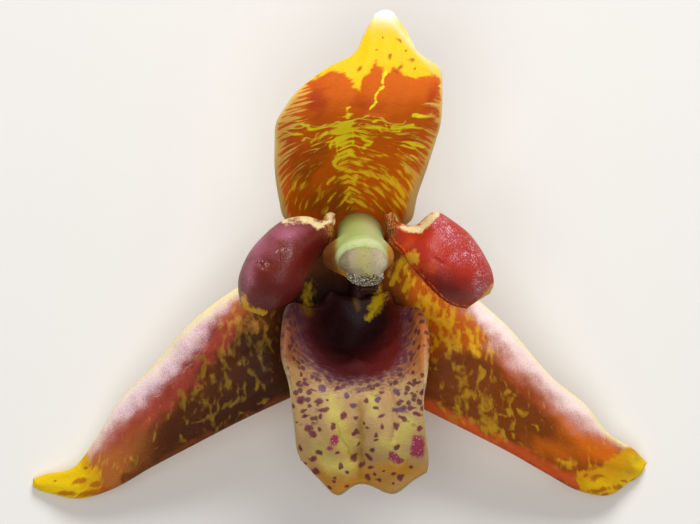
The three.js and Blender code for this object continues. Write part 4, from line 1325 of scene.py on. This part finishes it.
def lip_finish(settings):
    finish = Finish("lip_tissue")
    ragged = finish.noise(finish.place(0.2, 0.2, 1), detail=4, roughness=0.65)
    cloud = finish.noise(finish.place(1.0, 1.0, 8))
    streak = finish.noise(finish.place(0.5, 0.16, 5), roughness=0.6)
    lit_right_side = finish.mask("lit_right_side")
    colour = finish.cover(settings.tan, settings.ochre, "ochre", [(cloud, 0.6)], -0.5, 0.8)
    # Pale yellow swellings, partly painted light.
    colour = finish.cover(colour, settings.lemon, "lemon", [(cloud, 0.8)], -0.4, 1.0, 0.95)
    # The left side lobe is darker: painted shade of the side away from the light.
    lobes = finish.lay(LIP_TONES.left_lobe, settings.orange, lit_right_side)
    colour = finish.cover(
        colour, lobes, "lobes", [(cloud, 0.5), (streak, 0.3)], -0.3, 1.0, 0.92)
    # Darker ochre along the groove and beside the left fold: partly their own colour, partly
    # painted shade in the hollows.
    colour = finish.cover(colour, LIP_TONES.groove, "groove", [], -0.2, 1.0, 0.75)

    round_ones = finish.cells(finish.body(0.48, 3), randomness=0.9)
    round_ones = finish.step(finish.sum(round_ones, (ragged, 0.16)), 0.46, 0.28)
    long_ones = finish.cells(finish.place(0.5, 0.3, 7), randomness=0.95)
    long_ones = finish.step(finish.sum(long_ones, (ragged, 0.15)), 0.48, 0.28)
    freckles = finish.blend(round_ones, long_ones, finish.mask("streaky"))
    freckled = finish.area("freckled", [(cloud, 0.2)], -0.4, 0.4, 0.85)
    colour = finish.lay(colour, LIP_TONES.freckles, finish.times(freckles, freckled))
    colour = finish.cover(
        colour, settings.violet, "wash", [(streak, 1.2), (ragged, 0.6)], -0.1, 1.1, 0.85)

    lobed = finish.cells(finish.body(0.24, 11))
    spotted = finish.area("spots", [(lobed, -0.45), (ragged, 0.3)], -0.2, 0.4, 0.9)
    tone = finish.cover(
        settings.spot, LIP_TONES.spot_core, "spots", [(lobed, -0.8)], 0.1, 0.8, 0.7)
    tone = finish.cover(tone, settings.magenta, "magenta", [(ragged, 0.6)], -0.3, 0.4, 0.9)
    tone = finish.cover(tone, LIP_TONES.violet_spot, "violet", [], -0.1, 0.4, 0.7)
    colour = finish.lay(colour, tone, spotted)
    sparkle = finish.step(finish.cells(finish.body(0.17, 6)), 0.3, 0.12)
    sparkle = finish.times(sparkle, finish.times(finish.area("magenta", [], -0.3, 0.4), spotted))
    colour = finish.lay(colour, LIP_TONES.sparkle, sparkle)

    # The throat's own maroon, darker on the left as painted shade.
    deep = finish.lay(LIP_TONES.throat_left, LIP_TONES.throat_right, lit_right_side)
    colour = finish.cover(colour, deep, "throat", [(streak, 1.2), (ragged, 0.6)], -0.6, 0.7, 0.95)
    # Near-black core of the throat: its maroon deepened with painted shade.
    colour = finish.cover(colour, settings.maroon, "core", [(streak, 0.2)], 0.25, 0.9)
    colour = finish.cover(
        colour, LIP_TONES.yellow, "yellow", [(cloud, 0.6), (ragged, 0.6)], 0.0, 0.8, 0.95)
    colour = finish.cover(colour, LIP_TONES.dim, "dim", [(ragged, 0.5)], -0.1, 0.9, 0.6)
    rim = finish.area("rim_distance", [(ragged, 0.04)], 0.08, 0.02, 0.4)
    colour = finish.lay(colour, LIP_TONES.rim, finish.times(rim, finish.mask("rim_shown")))
    outer = finish.lay(LIP_TONES.outside, settings.orange, finish.step(cloud, 0.4, 0.7, 0.7))
    colour = finish.lay(colour, outer, finish.mask("outside"))
    return finish.done(
        colour, finish.papillae(0.1, 0.02), settings.roughness, body=0.25, depth=0.5, shine=0.2)


def column_finish(settings):
    finish = Finish("column_tissue")
    cloud = finish.noise(finish.body(0.9, 1))
    grain = finish.noise(finish.body(0.12, 2), detail=2)
    colour = finish.cover(
        settings.green, COLUMN_TONES.bright, "bright", [(cloud, 0.4)], 0.0, 1.0, 0.8)
    amber = finish.lay(settings.amber, COLUMN_TONES.wing_shade, finish.mask("dark"))
    colour = finish.cover(colour, amber, "wing", [(cloud, 0.2)], 0.0, 1.0)
    colour = finish.cover(
        colour, settings.pale, "rim", [(grain, 0.4), (cloud, 0.7)], 0.1, 1.2, 0.6)
    # Near-black foot in the throat: dark maroon deepened with painted shade.
    colour = finish.cover(colour, COLUMN_TONES.foot, "foot", [(cloud, 0.2)], 0.3, 0.7)
    normal = finish.relief(finish.noise(finish.body(0.3, 4), detail=2), 0.01, 0.5)
    return finish.done(colour, normal, body=0.6, depth=1.2)


def cap_finish(settings):
    finish = Finish("anther_cap_tissue")
    grain = finish.noise(finish.body(0.12, 2))
    cloud = finish.noise(finish.body(0.5, 3))
    sides = finish.cover(settings.lilac, CAP_TONES.shaded, "shaded", [(cloud, 0.7)], 0.2, 1.1, 0.8)
    sides = finish.cover(sides, CAP_TONES.lit, "lit", [(cloud, 0.7)], 0.2, 1.1, 0.7)
    colour = finish.cover(sides, settings.olive, "keel", [(cloud, 0.4)], 0.1, 0.9)
    mottled = finish.lay(CAP_TONES.snout, CAP_TONES.snout_dark, finish.step(grain, 0.3, 0.7))
    colour = finish.cover(colour, mottled, "snout", [(grain, 0.6)], 0.3, 1.0)
    freckles = finish.step(finish.cells(finish.body(0.2, 7)), 0.28, 0.12, 0.75)
    freckles = finish.times(freckles, finish.step(cloud, 0.3, 0.7))
    colour = finish.lay(colour, CAP_TONES.freckles, freckles)
    specks = finish.step(finish.cells(finish.body(0.17, 9)), 0.26, 0.12, 0.7)
    colour = finish.lay(colour, CAP_TONES.specks, finish.times(specks, finish.mask("snout")))
    grains = finish.lay(CAP_TONES.grain, CAP_TONES.grain_dark, finish.step(grain, 0.3, 0.8))
    colour = finish.lay(colour, grains, finish.mask("granule"))
    return finish.done(colour, finish.relief(grain, 0.02, 0.8), body=0.35, depth=0.6)


def viscidium_finish(settings):
    finish = Finish("viscidium_brown")
    grain = finish.noise(finish.body(0.15, 2))
    colour = finish.lay(settings.brown, VISCIDIUM_TONES.grain, finish.step(grain, 0.5, 0.75, 0.7))
    normal = finish.relief(grain, 0.05, 0.8)
    return finish.done(colour, normal, roughness=0.45, body=0.1, depth=0.2, coat=0.05)


def stalk_finish(settings):
    finish = Finish("stalk_green")
    cloud = finish.noise(finish.body(1.2, 1), detail=4)
    flecks = finish.step(finish.cells(finish.body(0.35, 3)), 0.3, 0.15, 0.6)
    flecks = finish.times(flecks, finish.step(cloud, 0.45, 0.65))
    colour = finish.cover(
        settings.green, settings.flush, "flush", [(cloud, 0.9)], 0.1, 0.9, 0.8)
    colour = finish.lay(colour, STALK_TONES.flecks, flecks)
    colour = finish.cover(colour, settings.cut, "cut", [], 0.4, 0.6)
    normal = finish.relief(finish.noise(finish.body(0.3, 4), detail=4), 0.06, 0.8)
    return finish.done(colour, normal, body=0.2, depth=0.5, coat=0.1)


# Reliefs and masks of each blade
def dorsal_relief(surface, view):
    moved = wander(view, *DORSAL_CREST_WANDER)
    crest = 0.04 * smooth(strokes(moved, wider(DORSAL_CREST, 4)), 0, 1)
    midrib = -0.1 * bump(surface["across_mm"], 0.45) * smooth(surface["along"], 0.05, 0.3)
    midrib = midrib * smooth(surface["along"], 0.95, 0.6)
    return crest + midrib + veins(surface, 0.9) + SEPAL_RIPPLE * ripple(surface, 11)


def dorsal_paint(surface, view):
    x, y = view
    moved = wander(view, *DORSAL_WANDER)
    left = surface["across"] < 0
    width = np.where(left, 0.2, 0.2 + 0.24 * smooth(y, *DORSAL_RIM_WIDENS))
    width = width + 0.1 * smooth(y, *DORSAL_RIM_BASE)
    reach = np.where(left, 1.6, 1.2) * smooth(y, *DORSAL_COMB_START)
    reach = reach * (1 - 0.6 * smooth(y, *DORSAL_COMB_END))
    return {
        "tip": region(moved, DORSAL_TIP_OUTLINE, TIP_SOFT),
        "dots": spots(moved, DORSAL_TIP_DOTS),
        "net": strokes(wander(view, *DORSAL_NET_WANDER), DORSAL_YELLOW_STROKES),
        "zone": np.where(y > DORSAL_NET_TOP, glow(view, DORSAL_NET_ZONES) - 0.5, -1),
        "low": smooth(y, *DORSAL_LOW),
        "crest": strokes(wander(view, *DORSAL_CREST_WANDER), DORSAL_CREST),
        "brown": glow(view, DORSAL_BROWNS),
        "shade": glow(view, DORSAL_SHADES),
        "rim": np.clip(1 - surface["side_distance"] / width, -1, 1),
        "comb": np.clip(1 - surface["side_distance"] / (reach + 0.01), -1, 1),
        "apex": np.clip(glow(view, DORSAL_GLARE), 0, 1),
    }


def lateral_relief(surface, view):
    keel = 0.06 * bump(surface["across_mm"] + 0.2, 0.35)
    return keel + veins(surface, 0.8) + SEPAL_RIPPLE * ripple(surface, 23)


def lateral_left_paint(surface, view):
    x, y = view
    moved = wander(view, *LEFT_WANDER)
    width = 0.3 + 0.55 * smooth(x, *LEFT_RIM_WIDENS)
    rim = np.clip(1 - surface["from_right"] / width, -1, 1)
    return {
        "band": region(moved, LEFT_GLARE_BAND_OUTLINE, GLARE_BAND_SOFT),
        "lavender": spots(moved, LEFT_LAVENDER),
        "red": strokes(moved, LEFT_RED),
        "net": strokes(wander(view, *LEFT_BLOTCH_WANDER), wider(LEFT_BLOTCH_STROKES, 2.0)),
        "edge": strokes(moved, LEFT_WARM_EDGE),
        "dapple": glow(view, LEFT_DAPPLES) - 0.32,
        "ground": glow(view, LEFT_DARK_GROUND_AND_SHADE),
        "warm": np.maximum(glow(view, LEFT_WARMS), 1.2 * smooth(x, *LEFT_WARM_END)),
        "rim": rim - 2 * smooth(x, *LEFT_RIM_END),
        "tip": region(moved, LEFT_TIP_OUTLINE, TIP_SOFT),
        "tip_end": region(moved, LEFT_TIP_OUTLINE, LEFT_TIP_END_SOFT),
        "dots": spots(view, LEFT_TIP_MARKS),
        "crease": strokes(moved, LEFT_CREASE),
        "throat": glow(view, THROAT_SHADE),
        "patch": 0.45 * strokes(view, THROAT_YELLOW_LEFT) - 0.05,
    }


def lateral_right_paint(surface, view):
    x, y = view
    moved = wander(view, *RIGHT_WANDER)
    rim = np.clip(1 - surface["from_left"] / 0.5, -1, 1)
    return {
        "band": region(moved, RIGHT_GLARE_BAND_OUTLINE, GLARE_BAND_SOFT) + 0.25,
        "lavender": strokes(moved, wider(RIGHT_PINK_AND_SHEEN, 2.4)) - 0.3,
        "red": glow(view, RIGHT_REDS) - 0.5,
        "edge": strokes(moved, RIGHT_LOW_BAND),
        "dapple": glow(view, RIGHT_DAPPLES) - 0.4,
        "net": strokes(wander(view, *RIGHT_YELLOW_WANDER), wider(RIGHT_YELLOW_STROKES, 1.8)),
        "ground": np.zeros(x.shape),
        "warm": glow(view, RIGHT_ORANGE) - 0.5 * glow(view, RIGHT_DARK),
        "rim": rim - 2 * smooth(x, *RIGHT_RIM_END),
        "tip": region(moved, RIGHT_TIP_OUTLINE, TIP_SOFT),
        "tip_end": region(moved, RIGHT_TIP_OUTLINE, RIGHT_TIP_END_SOFT) - 0.25,
        "dots": spots(moved, RIGHT_TIP_MARKS),
        "crease": nowhere(view),
        "throat": glow(view, THROAT_SHADE),
        "patch": strokes(view, THROAT_YELLOW_RIGHT),
    }


def petal_left_relief(surface, view):
    dimple = -0.16 * np.maximum(0, spots(view, PETAL_LEFT_DIMPLE))
    return dimple + PETAL_RIPPLE * ripple(surface, 31, lowest=0.8)


def petal_right_relief(surface, view):
    crease = -0.12 * np.maximum(0, spots(view, PETAL_RIGHT_CREASE))
    return crease + PETAL_RIPPLE * ripple(surface, 37, lowest=0.8)


def petal_left_paint(surface, view):
    x, y = view
    moved = wander(view, *PETAL_LEFT_WANDER)
    (deep_x, deep_y), (deep_width, deep_height) = PETAL_LEFT_SHADE_RAMP
    return {
        "deep": np.clip((x - deep_x) / deep_width + (y - deep_y) / deep_height, -1, 1),
        "mauve": spots(moved, PETAL_LEFT_MAUVE_SHEEN),
        "pale": spots(moved, PETAL_LEFT_SHEEN),
        "warm": nowhere(view),
        "claw": glow(view, PETAL_LEFT_CLAW),
        "rim": strokes(moved, PETAL_LEFT_CREAM),
        "gold": strokes(moved, PETAL_LEFT_GOLD),
        "line": nowhere(view),
        "dots": spots(moved, PETAL_LEFT_SPOTS),
    }


def petal_right_paint(surface, view):
    x, y = view
    moved = wander(view, *PETAL_RIGHT_WANDER)
    outer_line = 1 - np.abs(surface["from_right"] - 0.15) / 0.2
    inner_line = 0.6 - np.abs(surface["from_right"] - 0.6) / 0.16
    return {
        "deep": spots(moved, PETAL_RIGHT_SHADE),
        "mauve": 0.6 * spots(moved, PETAL_RIGHT_SHEEN) - 0.3,
        "pale": spots(moved, PETAL_RIGHT_SHEEN),
        "warm": spots(moved, PETAL_RIGHT_WARM),
        "claw": glow(view, PETAL_RIGHT_CLAW),
        "rim": strokes(moved, PETAL_RIGHT_CREAM),
        "gold": strokes(moved, PETAL_RIGHT_GOLD),
        "line": np.maximum(outer_line, inner_line) * smooth(x, *PETAL_RIGHT_LINE_END),
        "dots": nowhere(view),
    }


def lip_relief(surface, view):
    along, across = surface["along"], surface["across"]
    blade = bump(along - 0.84, 0.16)
    swelling = 0.32 * bump(np.abs(across) - 0.33, 0.2)
    groove = 0.2 * bump(across, 0.1)
    callus = 0.35 * bump(along - 0.36, 0.06) * bump(across, 0.12)
    fold = -0.13 * smooth(strokes(view, wider(LIP_FOLD, 4.5)), 0, 1)
    crease = -0.12 * smooth(strokes(view, wider(LIP_CREASE, 3.4)), 0, 1)
    uneven = LIP_RIPPLE * ripple(surface, 41, highest=4)
    return blade * (swelling - groove) + callus + fold + crease + uneven


def lip_paint(surface, view):
    x, y = view
    from_side = surface["side_distance"]
    moved = wander(view, *LIP_WANDER)
    magenta = spots(moved, LIP_MAGENTA)
    # The groove and the far side of the left fold, partly painted shade.
    groove = strokes(moved, wider(LIP_GROOVE, 1.3))
    fold = strokes(moved, wider(LIP_FOLD, 1.8)) - 0.5
    freckled = np.maximum(smooth(y, *LIP_FRECKLED), smooth(from_side, 2.2, 1.2))
    return {
        "spots": np.maximum(1.15 * spots(moved, LIP_SPOTS) - 0.02, 0.9 * magenta),
        "magenta": magenta + 0.15,
        "violet": spots(view, LIP_VIOLET),
        "lemon": strokes(moved, LIP_LIT_LEMON) - 0.1,
        "ochre": spots(moved, LIP_OCHRE),
        "groove": np.maximum(groove, fold),
        "lobes": 1.6 * smooth(y, *LIP_SIDE_LOBES) - 0.5,
        "lit_right_side": smooth(x, *LIP_LIT_RIGHT_SIDE),
        "rim_shown": smooth(y, *LIP_RIM_SHOWN),
        "throat": region(moved, LIP_THROAT_OUTLINE, LIP_THROAT_SOFT),
        "core": glow(view, LIP_CORE_SHADE),
        "wash": 1.7 * region(moved, LIP_THROAT_OUTLINE, LIP_WASH_SOFT) + 1.05,
        "freckled": freckled * smooth(y, *LIP_FRECKLES_END) * 2.4 - 1,
        "streaky": smooth(y, *LIP_STREAKY) * smooth(from_side, 0.9, 1.9),
        "yellow": strokes(view, LIP_YELLOW),
        "dim": strokes(view, wider(LIP_YELLOW_DIM, 1.5)),
    }


# Column, cap, viscidium and stalk
def column_rings(levels, points):
    """Rings of the column from its base to its tip, wider at its wings."""
    upward = unit(np.cross(unit(COLUMN_TIP - COLUMN_BASE), SIDEWAYS))
    turn = around(points)
    rings = []
    for level in levels:
        centre = COLUMN_BASE + (COLUMN_TIP - COLUMN_BASE) * level
        end = min(1, math.sqrt(max(0, COLUMN_ROUND_END - level) / COLUMN_ROUND_LENGTH))
        height = math.exp(-(((level - COLUMN_WING_LEVEL) / COLUMN_WING_REACH) ** 2))
        wing = np.where(np.cos(turn) < 0, COLUMN_WING_LEFT, COLUMN_WING_RIGHT) * height
        sides = np.abs(np.cos(turn)) ** 0.7
        flare = 1 + wing * sides * np.exp(-((np.sin(turn) + 0.1) ** 2) / 0.4)
        narrowing = COLUMN_NECK + (1 - COLUMN_NECK) * end
        width = COLUMN_HALF_WIDTH * narrowing * flare
        depth = COLUMN_HALF_DEPTH * narrowing * flare
        across = np.outer(width * np.cos(turn), SIDEWAYS)
        rings.append(centre + across + np.outer(depth * np.sin(turn), upward))
    return np.array(rings)


def closed_rings(rings):
    """Vertices and quads of a tube whose two ends are drawn in to a point."""
    first, last = rings[0].mean(0), rings[-1].mean(0)
    start = [first + (rings[0] - first) * share for share in END_SHARES]
    end = [last + (rings[-1] - last) * share for share in reversed(END_SHARES)]
    every = np.array([*start, *rings, *end])
    return every.reshape(-1, 3), tube_quads(len(every), rings.shape[1])


def from_cap(points):
    """Distance from the cap's middle, 1 on its surface."""
    return np.linalg.norm((points - CAP_CENTRE) / CAP_HALF, axis=-1)


def column_foot():
    """Vertices and quads of the foot below the column, which carries the lip."""
    turn = around(FOOT_POINTS)
    rings = []
    for level in np.concatenate([np.linspace(0, 0.9, 30), np.linspace(0.92, 1, 8)]):
        centre = FOOT_START + (FOOT_END - FOOT_START) * level
        past = max(0, (level - FOOT_ROUND_END) / (1 - FOOT_ROUND_END))
        narrowing = math.sqrt(max(0.05, 1 - past ** 2))
        rings.append(centre + np.stack([
            FOOT_HALF_WIDTH * narrowing * np.cos(turn), 0 * turn,
            FOOT_HALF_HEIGHT * narrowing * np.sin(turn)], 1))
    vertices, quads = closed_rings(np.array(rings))
    return vertices, quads[:, ::-1]


def column_piece():
    levels = np.concatenate([np.linspace(0, 0.85, 70), np.linspace(0.86, 1, 40)])
    rings = column_rings(levels, COLUMN_POINTS)
    outward = unit(rings - rings.mean(1, keepdims=True))
    rim = bump(from_cap(rings) - 1.25, 0.22) * smooth(rings[..., 1], -1.2, -0.2)
    vertices, quads = closed_rings(rings + outward * (RIM_HEIGHT * rim)[..., None])
    away = vertices[:, 0] - COLUMN_TIP[0]
    up, out = vertices[:, 1], vertices[:, 2]
    masks = {
        "rim": bump(from_cap(vertices) - 1.2, 0.19) * smooth(out, 10.5, 12) * smooth(up, -0.9, 0.1),
        "wing": smooth(np.abs(away), 1.25, 1.8) + 0.8 * smooth(up, -0.4, -1.2),
        "dark": smooth(away, -0.9, -2.0),
        "bright": smooth(up, -0.4, 1.0) * smooth(away, -1.0, 1.0),
        "foot": smooth(out, 6.5, 5.0) * smooth(up, 1.6, 0.6),
    }
    foot = column_foot()
    for key, values in masks.items():
        masks[key] = np.concatenate([values, np.full(len(foot[0]), float(key == "foot"))])
    return make_piece("column_hood", *join([(vertices, quads), foot]), masks)


def ball(centre, half, rings, points):
    """A rounded body: its points as on a sphere, then its vertices and quads."""
    polar = np.linspace(POLE_OPENING, math.pi - POLE_OPENING, rings)
    turn = around(points)
    x = np.sin(polar)[:, None] * np.cos(turn)
    y = np.sin(polar)[:, None] * np.sin(turn)
    z = np.cos(polar)[:, None] + 0 * turn
    sphere = np.stack([x, y, z], -1).reshape(-1, 3)
    return sphere, centre + sphere * half, tube_quads(rings, points)[:, ::-1]


def cap_shape(sphere):
    """How far the helmet departs from a plain ball: its keel, beak and squared lower end."""
    side, up, out = sphere.T
    low = smooth(-up, 0.05, 0.5)
    keel = CAP_KEEL * bump(side - 0.1 * low, 0.25) * np.maximum(0, out)
    beak = CAP_BEAK * np.maximum(0, -up) ** 3
    narrow = -0.3 * side * bump(up + 0.4, 0.22)
    squared = 0.06 * side * bump(up + 0.95, 0.18)
    return np.stack([narrow + squared + 0.14 * low, -beak, keel - 0.5 * beak], 1)


def granules(settings, vertices, sphere):
    """Small crystalline grains round the lower edge of the cap, half sunk in it."""
    draw = np.random.default_rng(5)
    low = smooth(-sphere[:, 1], -0.05, 0.95) * smooth(sphere[:, 2], -0.45, 0.0)
    share = np.sqrt(np.maximum(0, 1 - sphere[:, 2] ** 2))
    likely = np.flatnonzero(low * share * draw.uniform(0.1, 1, len(low)) > GRAIN_LIKELIHOOD)
    grains = []
    for index in draw.choice(likely, GRAIN_COUNT, replace=False):
        size = settings.granule / MM * draw.uniform(*GRAIN_SIZES)
        half = size * draw.uniform(*GRAIN_PROPORTIONS, 3)
        grains.append(ball(vertices[index], half, *GRAIN_STEPS)[1:])
    return join(grains)


def cap_piece(settings):
    sphere, vertices, quads = ball(CAP_CENTRE, CAP_HALF, *CAP_STEPS)
    vertices = vertices + cap_shape(sphere)
    grains = granules(settings, vertices, sphere)
    plain = np.zeros(len(grains[0]))
    masks = {
        "keel": bump(sphere[:, 0], 0.38) * smooth(sphere[:, 2], -0.1, 0.4),
        "shaded": smooth(-sphere[:, 0], 0.2, 0.9),
        "lit": smooth(sphere[:, 0], 0.2, 0.8),
        "snout": smooth(-sphere[:, 1], 0.15, 0.75),
    }
    masks = {key: np.concatenate([values, plain]) for key, values in masks.items()}
    masks["granule"] = np.concatenate([np.zeros(len(vertices)), plain + 1])
    return make_piece("cap_helmet", *join([(vertices, quads), grains]), masks)


def viscidium_piece():
    sphere, vertices, quads = ball(VISCIDIUM_CENTRE, VISCIDIUM_HALF, *VISCIDIUM_STEPS)
    lump = VISCIDIUM_LUMP * np.sin(sphere @ LUMP_WAVES[0]) * np.cos(sphere @ LUMP_WAVES[1])
    return make_piece("viscidium_pad", vertices + sphere * lump[:, None], quads, {})


def stalk_piece(settings):
    along = np.linspace(0, 1, STALK_ROWS)
    line = smooth_line(STALK_LINE, along)
    middle, radius = line[:, :3], line[:, 3]
    forward = unit(np.gradient(middle, axis=0))
    upward = unit(np.cross(SIDEWAYS, forward))
    turn = around(STALK_POINTS)
    ovary = smooth(along, 0.3, 0.42) * smooth(along, 1.0, 0.85)
    ribs = settings.rib / MM * np.cos(OVARY_RIBS * turn[None] + 1.2 * along[:, None])
    ribs = ribs * ovary[:, None]
    wrinkles = STALK_WRINKLE * np.cos(17 * turn[None] + 9 * along[:, None])
    reach = radius[:, None] + ribs + wrinkles * (1 - ovary[:, None])
    rings = middle[:, None] + (reach * np.cos(turn))[..., None] * SIDEWAYS
    rings = rings + (reach * np.sin(turn))[..., None] * upward[:, None]
    rings[..., 2] = np.maximum(rings[..., 2], 0.0)
    vertices, quads = closed_rings(rings)
    end = len(END_SHARES)
    share = np.concatenate([np.zeros(end), along, np.ones(end)]).repeat(STALK_POINTS)
    masks = {
        "flush": smooth(share, 0.5, 0.05),
        "cut": (np.arange(len(share)) < end * STALK_POINTS).astype(float),
    }
    return make_piece("ovary_stalk", vertices, quads, masks)


# Operators
class BuildPiece(bpy.types.Operator):
    """Base of the operators that build one piece or a group of like pieces"""

    bl_options = {"REGISTER", "UNDO"}


class BLOOM_OT_dorsal_sepal(BuildPiece):
    """Builds the dorsal sepal, the upright blade behind the column"""

    bl_idname = "bloom.dorsal_sepal"
    bl_label = "Dorsal Sepal"

    def execute(self, context):
        settings = context.scene.bloom_sepals
        piece = blade_piece("dorsal_sepal", DORSAL_SEPAL, settings, dorsal_relief, dorsal_paint)
        attach(piece, "dorsal_sepal", dorsal_finish(settings))
        return {"FINISHED"}


class BLOOM_OT_lateral_sepals(BuildPiece):
    """Builds the two lateral sepals, which spread down and outwards"""

    bl_idname = "bloom.lateral_sepals"
    bl_label = "Lateral Sepals"

    def execute(self, context):
        settings = context.scene.bloom_sepals
        sides = {
            # The left sepal's ground and tones are darkened as painted shade.
            "left": (LATERAL_SEPAL_LEFT, lateral_left_paint, settings.brown, LEFT_SHADED_TONES),
            "right": (LATERAL_SEPAL_RIGHT, lateral_right_paint, RIGHT_TONES.ground, RIGHT_TONES),
        }
        for side, (blade, paint, ground, tones) in sides.items():
            node = f"lateral_sepal_{side}"
            piece = blade_piece(node, blade, settings, lateral_relief, paint)
            finish = lateral_finish(f"{node}_tissue", settings, ground, tones)
            attach(piece, node, finish)
        return {"FINISHED"}


class BLOOM_OT_petals(BuildPiece):
    """Builds the two short petals, one on each side of the column"""

    bl_idname = "bloom.petals"
    bl_label = "Petals"

    def execute(self, context):
        settings = context.scene.bloom_petals
        sides = {
            "left": (PETAL_LEFT, petal_left_relief, petal_left_paint, settings.plum),
            "right": (PETAL_RIGHT, petal_right_relief, petal_right_paint, settings.crimson),
        }
        for side, (blade, relief, paint, ground) in sides.items():
            node = f"petal_{side}"
            piece = blade_piece(node, blade, settings, relief, paint)
            finish = petal_finish(f"{node}_tissue", settings, ground)
            attach(piece, node, finish)
        return {"FINISHED"}


class BLOOM_OT_lip(BuildPiece):
    """Builds the lip, with its dark throat and spotted blade"""

    bl_idname = "bloom.lip"
    bl_label = "Lip"

    def execute(self, context):
        settings = context.scene.bloom_lip
        piece = blade_piece("lip", LIP, settings, lip_relief, lip_paint)
        attach(piece, "lip", lip_finish(settings))
        return {"FINISHED"}


class BLOOM_OT_column(BuildPiece):
    """Builds the column with its wings and foot"""

    bl_idname = "bloom.column"
    bl_label = "Column"

    def execute(self, context):
        settings = context.scene.bloom_column
        attach(column_piece(), "column", column_finish(settings))
        return {"FINISHED"}


class BLOOM_OT_anther(BuildPiece):
    """Builds the anther cap and the viscidium under its beak"""

    bl_idname = "bloom.anther"
    bl_label = "Anther Cap"

    def execute(self, context):
        settings = context.scene.bloom_column
        attach(cap_piece(settings), "anther_cap", cap_finish(settings))
        attach(viscidium_piece(), "viscidium", viscidium_finish(settings))
        return {"FINISHED"}


class BLOOM_OT_stalk(BuildPiece):
    """Builds the ovary and the cut stalk that carry the bloom"""

    bl_idname = "bloom.stalk"
    bl_label = "Ovary and Stalk"

    def execute(self, context):
        settings = context.scene.bloom_stalk
        attach(stalk_piece(settings), "ovary_pedicel", stalk_finish(settings))
        return {"FINISHED"}


class BLOOM_OT_stage(bpy.types.Operator):
    """Sets the floor, the lights and the camera"""

    bl_idname = "bloom.stage"
    bl_label = "Stage"

    def execute(self, context):
        settings = context.scene.bloom_stage
        make_floor(settings)
        low, high = CAD_BOX
        middle = (low + high) / 2
        make_light("key_light", settings.key, KEY_LIGHT_SIZE, middle + KEY_LIGHT_OFFSET, middle)
        make_light("fill_light", settings.fill, FILL_LIGHT_SIZE, middle + FILL_LIGHT_OFFSET, middle)
        world = bpy.data.worlds.new("studio")
        world.use_nodes = True
        background = world.node_tree.nodes["Background"]
        background.inputs["Color"].default_value = SKY_COLOUR
        background.inputs["Strength"].default_value = SKY_STRENGTH
        context.scene.world = world
        context.scene.view_settings.view_transform = "Standard"
        make_camera(context.scene)
        return {"FINISHED"}


def make_floor(settings):
    mesh = bpy.data.meshes.new("floor")
    corners = [(x * FLOOR_HALF, y * FLOOR_HALF, 0) for x, y in ((-1, -1), (1, -1), (1, 1), (-1, 1))]
    mesh.from_pydata(corners, [], [(0, 1, 2, 3)])
    floor = bpy.data.objects.new("floor", mesh)
    bpy.context.scene.collection.objects.link(floor)
    floor.data.materials.append(Finish("floor_pale").done(settings.floor, roughness=0.8, body=0.0))


def make_light(name, power, size, place, target):
    light = bpy.data.lights.new(name, "AREA")
    light.shape = "DISK"
    light.size = size
    light.energy = power
    lamp = bpy.data.objects.new(name, light)
    lamp.location = place
    lamp.rotation_mode = "QUATERNION"
    lamp.rotation_quaternion = (target - place).to_track_quat("-Z", "Y")
    bpy.context.scene.collection.objects.link(lamp)


def make_camera(scene):
    camera = bpy.data.cameras.new("camera")
    camera.lens = CAMERA_LENS
    camera.sensor_width = CAMERA_SENSOR
    camera.clip_start, camera.clip_end = CAMERA_CLIP
    holder = bpy.data.objects.new("camera", camera)
    holder.location = CAMERA_PLACE
    scene.collection.objects.link(holder)
    scene.camera = holder


class BLOOM_PT_panel(bpy.types.Panel):
    """Lists the operators that build the bloom"""

    bl_idname = "BLOOM_PT_panel"
    bl_label = "Maxillaria Bloom"
    bl_space_type = "VIEW_3D"
    bl_region_type = "UI"
    bl_category = "Bloom"

    def draw(self, context):
        for operator in OPERATORS:
            self.layout.operator(operator.bl_idname)


OPERATORS = (
    BLOOM_OT_stalk,
    BLOOM_OT_dorsal_sepal,
    BLOOM_OT_lateral_sepals,
    BLOOM_OT_petals,
    BLOOM_OT_lip,
    BLOOM_OT_column,
    BLOOM_OT_anther,
    BLOOM_OT_stage,
)
SETTINGS = {
    "bloom_sepals": SepalSettings,
    "bloom_petals": PetalSettings,
    "bloom_lip": LipSettings,
    "bloom_column": ColumnSettings,
    "bloom_stalk": StalkSettings,
    "bloom_stage": StageSettings,
}


def register():
    for name, group in SETTINGS.items():
        bpy.utils.register_class(group)
        setattr(bpy.types.Scene, name, bpy.props.PointerProperty(type=group))
    for operator in OPERATORS:
        bpy.utils.register_class(operator)
    bpy.utils.register_class(BLOOM_PT_panel)


def unregister():
    bpy.utils.unregister_class(BLOOM_PT_panel)
    for operator in reversed(OPERATORS):
        bpy.utils.unregister_class(operator)
    for name, group in reversed(SETTINGS.items()):
        delattr(bpy.types.Scene, name)
        bpy.utils.unregister_class(group)


def main():
    register()
    bpy.ops.bloom.stalk()
    bpy.ops.bloom.dorsal_sepal()
    bpy.ops.bloom.lateral_sepals()
    bpy.ops.bloom.petals()
    bpy.ops.bloom.lip()
    bpy.ops.bloom.column()
    bpy.ops.bloom.anther()
    bpy.ops.bloom.stage()


if __name__ == "__main__":
    main()
